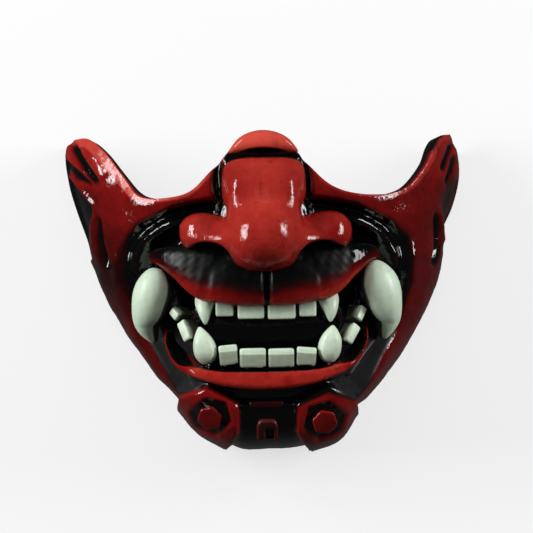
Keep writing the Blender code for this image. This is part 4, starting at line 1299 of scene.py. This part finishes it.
@dataclass(frozen=True)
class Mouth:
    """The lips, tusks and teeth, and the cap above the nose."""
    bed: Bed
    groove_across: float = 0.8 * MM
    groove_width: float = 1.6 * MM
    groove_depth: float = 3.2 * MM
    line: tuple[Place, ...] = (
        (-56, 17.5), (-49.8, 15.9), (-40.2, 11), (-30.7, 6), (-21.3, 3.5), (-9.5, 0.9), (-0.7, -0.2),
        (2.1, -0.3), (14.4, 2.8), (25.8, 4), (35.3, 7.1), (42.7, 13.1), (56, 17.3))

    def ball(self, drawn: Drawn) -> tuple[Shape, Array, Array]:
        """The mesh of a drawn-out ball, its points, and where each was on the round ball.

        Args:
            drawn: The drawn-out ball.

        Returns:
            The mesh, its points and the round ball's points.
        """
        shape = bmesh.new()
        bmesh.ops.create_uvsphere(shape, u_segments=drawn.sides, v_segments=drawn.rings, radius=1.0)
        ball = np.array([point.co[:] for point in shape.verts])
        return shape, self.bed.seat(drawn.points(ball)), ball

    def build_upper_lip(self, paint: Paint) -> Piece:
        """The muzzle: black above its painted line and red below it, split by a groove.

        Args:
            paint: Its material.

        Returns:
            The piece.
        """
        shape, points, ball = self.ball(UPPER_LIP)
        x, y = points[:, 0], points[:, 1]
        groove = np.exp(-((x - self.groove_across) / self.groove_width) ** 2)
        points[:, 2] -= self.groove_depth * groove
        points[:, 2] += 0.25 * MM * wobble(x, y, 7 * MM, 5.0)
        move_to(shape, points)
        line = np.array(self.line)
        border = np.interp(x / MM, line[:, 0], line[:, 1]) * MM
        above = (y - border) / MM
        soot = np.clip(0.44 + above / 15.0, 0.0, 1.0)
        # The lip's red grows brighter towards the right and darker up towards the black above it.
        tone_and_shading = 0.58 + 0.10 * smooth_step((x - 4 * MM) / (30 * MM))
        put_values(shape, "soot", np.maximum(soot, smooth_step(groove * 1.6 - 0.4)))
        put_values(shape, "tone_and_shading", tone_and_shading - 0.26 * smooth_step((above + 6.0) / 8.0))
        put_values(shape, "ash", 0.20 - 0.15 * smooth_step((np.abs(x) - 38 * MM) / (8 * MM)))
        end = smooth_step((-x - 45 * MM) / (5 * MM)) + smooth_step((x - 38 * MM) / (5 * MM))
        put_values(shape, "dull", 0.60 * (1.0 - end))
        return finish_piece("upper_lip", shape, paint)

    def build_lower_lip(self, paint: Paint) -> Piece:
        """The red lower lip.

        Args:
            paint: Its material.

        Returns:
            The piece.
        """
        shape, points, ball = self.ball(LOWER_LIP)
        x, y = points[:, 0], points[:, 1]
        points[:, 2] += 0.3 * MM * wobble(x, y, 9 * MM, 6.0)
        move_to(shape, points)
        end = smooth_step((np.abs(x) - 34 * MM) / (9 * MM))
        inner_side = smooth_step(-ball[:, 0] * 3.0 - 2.0 + 1.7 * end)
        under_side = smooth_step(ball[:, 0] * 3.0 - 2.2 + 1.2 * end)
        put_values(shape, "soot", np.maximum(inner_side, under_side))
        put_values(shape, "tone_and_shading", 0.64 + 0.08 * wobble(x, y, 12 * MM, 9.0) - 0.25 * end)
        put_values(shape, "ash", np.full(len(x), 0.1))
        return finish_piece("lower_lip", shape, paint)

    def build_cap(self, paint: Paint) -> Piece:
        """The small dome above the nose.

        Args:
            paint: Its material.

        Returns:
            The piece.
        """
        shape, points, ball = self.ball(BRIDGE_CAP)
        move_to(shape, points)
        put_values(shape, "soot", smooth_step(ball[:, 0] * 3.2 - 1.7))
        # Painted light with the paint's tone: the cap's red is set to the brightest.
        put_values(shape, "tone_and_shading", np.full(len(points), 1.0))
        put_values(shape, "ash", np.full(len(points), 0.1))
        return finish_piece("bridge_cap", shape, paint)

    def build_tooth(self, drawn: Drawn, paint: Paint) -> Piece:
        """One tooth or tusk, duller and darker towards its root, partly as painted shade under the lips.

        Args:
            drawn: The tooth as a drawn-out ball.
            paint: Its material.

        Returns:
            The piece.
        """
        shape, points, ball = self.ball(drawn)
        root = (1.0 + ball[:, 2]) / 2.0
        x, y = points[:, 0], points[:, 1]
        if drawn.ragged:
            ragged = wobble(x, 0.0 * y, 3.1 * MM, 8.0 + drawn.stations[0].across)
            points[:, 1] += drawn.ragged * MM * ragged * smooth_step(root * 4.0 - 3.0)
        points[:, 2] += 0.1 * MM * wobble(x, y, 5 * MM, 7.0)
        move_to(shape, points)
        kind = drawn.name.split("_")
        # Painted shade and wear: darker towards the root, darker on the incisors, which sit in the lips'
        # shade, and a painted highlight on the lower incisors' upward edges.
        wear_and_shade = 0.05 + 0.20 * root if kind[0] == "tusk" else 0.15 + 0.35 * root
        if kind[1] == "incisor":
            wear_and_shade += 0.25
        if kind[:2] == ["lower", "incisor"]:
            wear_and_shade += 0.30 - 0.5 * smooth_step((0.36 - root) / 0.06)
        put_values(shape, "wear_and_shade", wear_and_shade)
        # Each tooth is darkened on its sides and back, which turn away from the front.
        put_values(shape, "soot", smooth_step(0.9 - 1.2 * ball[:, 1] * 2.0))
        return finish_piece(drawn.name, shape, paint)

    def build(self, red: Paint, bone: Paint) -> list[Piece]:
        """Builds all pieces of the mouth.

        Args:
            red: The lips' material.
            bone: The teeth's material.

        Returns:
            The pieces.
        """
        pieces = [self.build_upper_lip(red), self.build_lower_lip(red), self.build_cap(red)]
        for drawn in TUSKS + CANINES + tuple(flat_tooth(tooth) for tooth in FLAT_TEETH):
            pieces.append(self.build_tooth(drawn, bone))
        return pieces


@dataclass(frozen=True)
class ChinTrim:
    """The six-sided bosses in their pockets, the ledge and the small arch."""
    boss_radius: float = 7.0 * MM
    boss_rise: float = 3.4 * MM
    pocket_radius: float = 9.2
    pocket_depth: float = 2.6
    plate: float = 4.0 * MM
    bar_width: float = 18 * MM
    bar_height: float = 4 * MM
    arch_width: float = 11.6 * MM
    arch_height: float = 12.6 * MM
    notch: float = 3.8 * MM
    notch_aside: float = 1.2 * MM
    notch_top: float = 1.3 * MM
    stand: float = 3 * MM
    root: float = 3 * MM
    edge_wear: float = 0.24
    boss_facing: float = 0.9
    arch_facing: float = 0.5

    @staticmethod
    def spots() -> dict[str, tuple[float, float, float]]:
        """Where the parts lie across and up in millimetres, and how far each is turned."""
        return {
            "chin_boss_left": (-25.8, -56.4, 14.0),
            "chin_boss_right": (25.8, -59.2, -14.0),
            "chin_bar": (-0.6, -51.8, 0.0),
            "chin_arch": (-0.3, -63.8, 0.0),
        }

    @staticmethod
    def pockets() -> list[Zone]:
        """The black six-sided pockets round the bosses."""
        zones = []
        for name in ("chin_boss_left", "chin_boss_right"):
            across, up, turn = ChinTrim.spots()[name]
            outline = []
            for corner in range(6):
                angle = math.radians(60.0 * corner + turn + 90.0)
                outline.append((across + ChinTrim.pocket_radius * math.cos(angle),
                                up + ChinTrim.pocket_radius * 0.92 * math.sin(angle)))
            depth = -ChinTrim.pocket_depth
            zones.append(Zone(name + "_pocket", Side.AS_DRAWN, depth, 2.0, 0.9, tuple(outline)))
        return zones

    def seat(self, name: str, height: float, facing: float = 0.0) -> Matrix:
        """A frame on the mask at a part's spot.

        Args:
            name: The part's name.
            height: The height above the dome.
            facing: How far the frame turns from square to the dome towards the front.

        Returns:
            The frame, whose third axis points out.
        """
        across, up, turn = self.spots()[name]
        x, y = np.array([across * MM]), np.array([up * MM])
        out = (Vector(DOME.normal(x, y)[0]) + Vector((0.0, 0.0, facing))).normalized()
        side = Vector((1.0, 0.0, 0.0))
        side = (side - out * side.dot(out)).normalized()
        turned = Matrix((side, out.cross(side), out)).transposed().to_4x4()
        origin = Vector(DOME.lift(x, y, np.array([height]))[0])
        spin = Matrix.Rotation(math.radians(turn + 30.0 * (turn != 0)), 4, "Z")
        return Matrix.Translation(origin) @ turned @ spin

    def soften(self, shape: Shape, offset: float, cuts: int) -> None:
        """Rounds the edges of a block and divides its faces."""
        bmesh.ops.bevel(shape, geom=shape.edges[:], offset=offset, segments=3, profile=0.5,
                        affect="EDGES", material=-1, clamp_overlap=True)
        bmesh.ops.subdivide_edges(shape, edges=shape.edges[:], cuts=cuts, use_grid_fill=True)

    def paint_block(self, shape: Shape, low: float, tone_and_shading: float, dull: float) -> None:
        """Paints a block, whose own frame is still upright, with a black foot and worn edges.

        Args:
            shape: The block.
            low: The height up to which it is black.
            tone_and_shading: How bright its red is.
            dull: How dull its varnish is.
        """
        shape.normal_update()
        height = np.array([point.co.z for point in shape.verts])
        tilt = np.clip([point.normal.z for point in shape.verts], 0.0, 1.0)
        put_values(shape, "soot", 1.0 - smooth_step((height - low) / (1.0 * MM)))
        put_values(shape, "tone_and_shading", tone_and_shading + self.edge_wear * 4.0 * tilt * (1.0 - tilt))
        put_values(shape, "ash", np.full(len(height), 0.1))
        put_values(shape, "dull", np.full(len(height), dull))

    def build_boss(self, name: str, paint: Paint) -> Piece:
        """One six-sided boss with softened edges.

        Args:
            name: The piece's name.
            paint: Its material.

        Returns:
            The piece.
        """
        shape = bmesh.new()
        low = -self.pocket_depth * MM - self.root
        high = self.boss_rise - self.pocket_depth * MM
        bmesh.ops.create_cone(shape, cap_ends=True, segments=6, radius1=self.boss_radius,
                              radius2=self.boss_radius * 0.90, depth=high - low)
        bmesh.ops.translate(shape, verts=shape.verts, vec=(0.0, 0.0, (low + high) / 2.0))
        self.soften(shape, 1.1 * MM, 3)
        self.paint_block(shape, -1.4 * MM, 0.20, 0.1)
        shape.transform(self.seat(name, self.plate, self.boss_facing))
        return finish_piece(name, shape, paint)

    def block(self, width: float, height: float, across: float, up: float) -> Shape:
        """A block that stands on the chin and narrows outwards, across and up.

        Args:
            width: Its width.
            height: Its height.
            across: How wide its top is, as a share.
            up: How high its top is, as a share.

        Returns:
            The block, in its own frame.
        """
        shape = bmesh.new()
        bmesh.ops.create_cube(shape, size=1.0)
        depth = self.stand + self.root
        bmesh.ops.scale(shape, verts=shape.verts, vec=(width, height, depth))
        bmesh.ops.translate(shape, verts=shape.verts, vec=(0.0, 0.0, self.stand - depth / 2.0))
        for point in shape.verts:
            if point.co.z > 0.0:
                point.co.x *= across
                point.co.y *= up
        return shape

    def build_bar(self, paint: Paint) -> Piece:
        """The short ledge between the chin plates.

        Args:
            paint: Its material.

        Returns:
            The piece.
        """
        shape = self.block(self.bar_width, self.bar_height, 0.86, 0.6)
        self.soften(shape, 0.6 * MM, 3)
        self.paint_block(shape, 2.0 * MM, -0.08, 0.3)
        shape.transform(self.seat("chin_bar", 0.0))
        return finish_piece("chin_bar", shape, paint)

    def build_arch(self, paint: Paint) -> Piece:
        """The small arch with its notch.

        Args:
            paint: Its material.

        Returns:
            The piece.
        """
        shape = self.block(self.arch_width, self.arch_height, 0.86, 0.86)
        self.soften(shape, 1.6 * MM, 9)
        for point in shape.verts:
            up = max(0.0, point.co.y / (0.5 * self.arch_height) - 0.1) / 0.9
            point.co.x *= math.sqrt(max(0.0, 1.0 - 0.62 * up ** 2))
            side = (point.co.x - self.notch_aside) / (0.5 * self.notch)
            climb = (point.co.y - self.notch_top) / (0.5 * self.notch) + 1.0
            dent = smooth_step(np.array((1.3 - math.hypot(side, max(climb, 0.0))) / 0.6))
            if point.co.z > 0.0:
                point.co.z -= self.stand * float(dent)
        self.paint_block(shape, 0.7 * MM, -0.02, 0.7)
        shape.transform(self.seat("chin_arch", 0.0, self.arch_facing))
        return finish_piece("chin_arch", shape, paint)

    def build(self, paint: Paint) -> list[Piece]:
        """Builds all parts of the chin."""
        return [self.build_boss("chin_boss_left", paint), self.build_boss("chin_boss_right", paint),
                self.build_bar(paint), self.build_arch(paint)]


@dataclass(frozen=True)
class Softbox:
    """A square studio light that looks at the mask."""
    name: str
    place: tuple[float, float, float]
    width: float
    height: float
    radiance: float
    mirrored: bool = True

    def build(self) -> Piece:
        """Hangs the light and turns it to the mask."""
        light = bpy.data.lights.new(self.name, "AREA")
        light.shape = "RECTANGLE"
        light.size = self.width
        light.size_y = self.height
        light.energy = self.radiance * math.pi * self.width * self.height
        thing = bpy.data.objects.new(self.name, light)
        thing.visible_glossy = self.mirrored
        thing.location = self.place
        aim = Vector((0.0, 0.0, 0.03)) - Vector(self.place)
        thing.rotation_euler = aim.to_track_quat("-Z", "Y").to_euler()
        bpy.context.scene.collection.objects.link(thing)
        return thing


@dataclass(frozen=True)
class Studio:
    """The pale floor, the lights and the camera that looks straight down on the mask."""
    camera_height: float = 1.1
    lens: float = 148.6
    sensor: float = 36.0
    tilt: float = -1.13
    shift_x: float = 0.0021
    shift_y: float = 0.0507
    floor_size: float = 6.0
    floor_colour: tuple[float, float, float, float] = (0.30, 0.30, 0.30, 1.0)
    floor_light: float = 0.70
    sky: float = 0.05

    def build_camera(self) -> Piece:
        """Hangs the camera over the mask."""
        data = bpy.data.cameras.new("camera")
        data.lens = self.lens
        data.sensor_width = self.sensor
        data.shift_x = self.shift_x
        data.shift_y = self.shift_y
        camera = bpy.data.objects.new("camera", data)
        camera.location = (0.0, 0.0, self.camera_height)
        camera.rotation_euler = (0.0, 0.0, math.radians(self.tilt))
        bpy.context.scene.collection.objects.link(camera)
        bpy.context.scene.camera = camera
        return camera

    def build_floor(self) -> Piece:
        """Lays the pale floor."""
        shape = bmesh.new()
        bmesh.ops.create_grid(shape, x_segments=1, y_segments=1, size=self.floor_size / 2.0)
        mesh = bpy.data.meshes.new("floor")
        shape.to_mesh(mesh)
        shape.free()
        graph = Graph("floor_paper")
        graph.put(graph.shader.inputs["Base Color"], self.floor_colour)
        graph.put(graph.shader.inputs["Roughness"], 0.9)
        graph.put(graph.shader.inputs["Specular IOR Level"], 0.0)
        graph.put(graph.shader.inputs["Emission Color"], (1.0, 1.0, 1.0, 1.0))
        graph.put(graph.shader.inputs["Emission Strength"], self.floor_light)
        mesh.materials.append(graph.material)
        floor = bpy.data.objects.new("floor", mesh)
        floor.location = (0.0, 0.0, -0.0002)
        floor.visible_diffuse = False
        floor.visible_glossy = False
        bpy.context.scene.collection.objects.link(floor)
        return floor

    def build(self) -> None:
        """Sets up the whole studio."""
        self.build_camera()
        self.build_floor()
        for box in (
            Softbox("key_left", (-1.40, 0.46, 0.74), 1.20, 0.36, 19.0),
            Softbox("key_right", (1.38, 0.44, 0.64), 0.90, 0.32, 19.0),
            Softbox("top_fill", (0.0, 1.5, 1.4), 2.4, 1.2, 1.35, False),
        ):
            box.build()
        world = bpy.data.worlds.new("studio")
        world.use_nodes = True
        world.node_tree.nodes["Background"].inputs["Color"].default_value = (1.0, 1.0, 1.0, 1.0)
        world.node_tree.nodes["Background"].inputs["Strength"].default_value = self.sky
        bpy.context.scene.world = world
        bpy.context.scene.view_settings.view_transform = "Standard"


def main() -> None:
    """Builds the studio and every piece of the mask in order."""
    logging.basicConfig(level=logging.INFO)
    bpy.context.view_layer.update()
    Studio().build()
    lacquer = Lacquer()
    shell = Shell()
    shell.build(lacquer.material("shell_lacquer"))
    bed = Bed(shell.sheet(shell.columns, shell.rows, True))
    red = lacquer.material("red_lacquer")
    Nose().build(Lacquer(crinkle=1.7).material("nose_lacquer"), bed)
    Mouth(bed).build(Lacquer(bend=1.3, crinkle=0.25).material("lip_lacquer"), Bone().material("bone_paint"))
    ChinTrim().build(red)


if __name__ == "__main__":
    main()
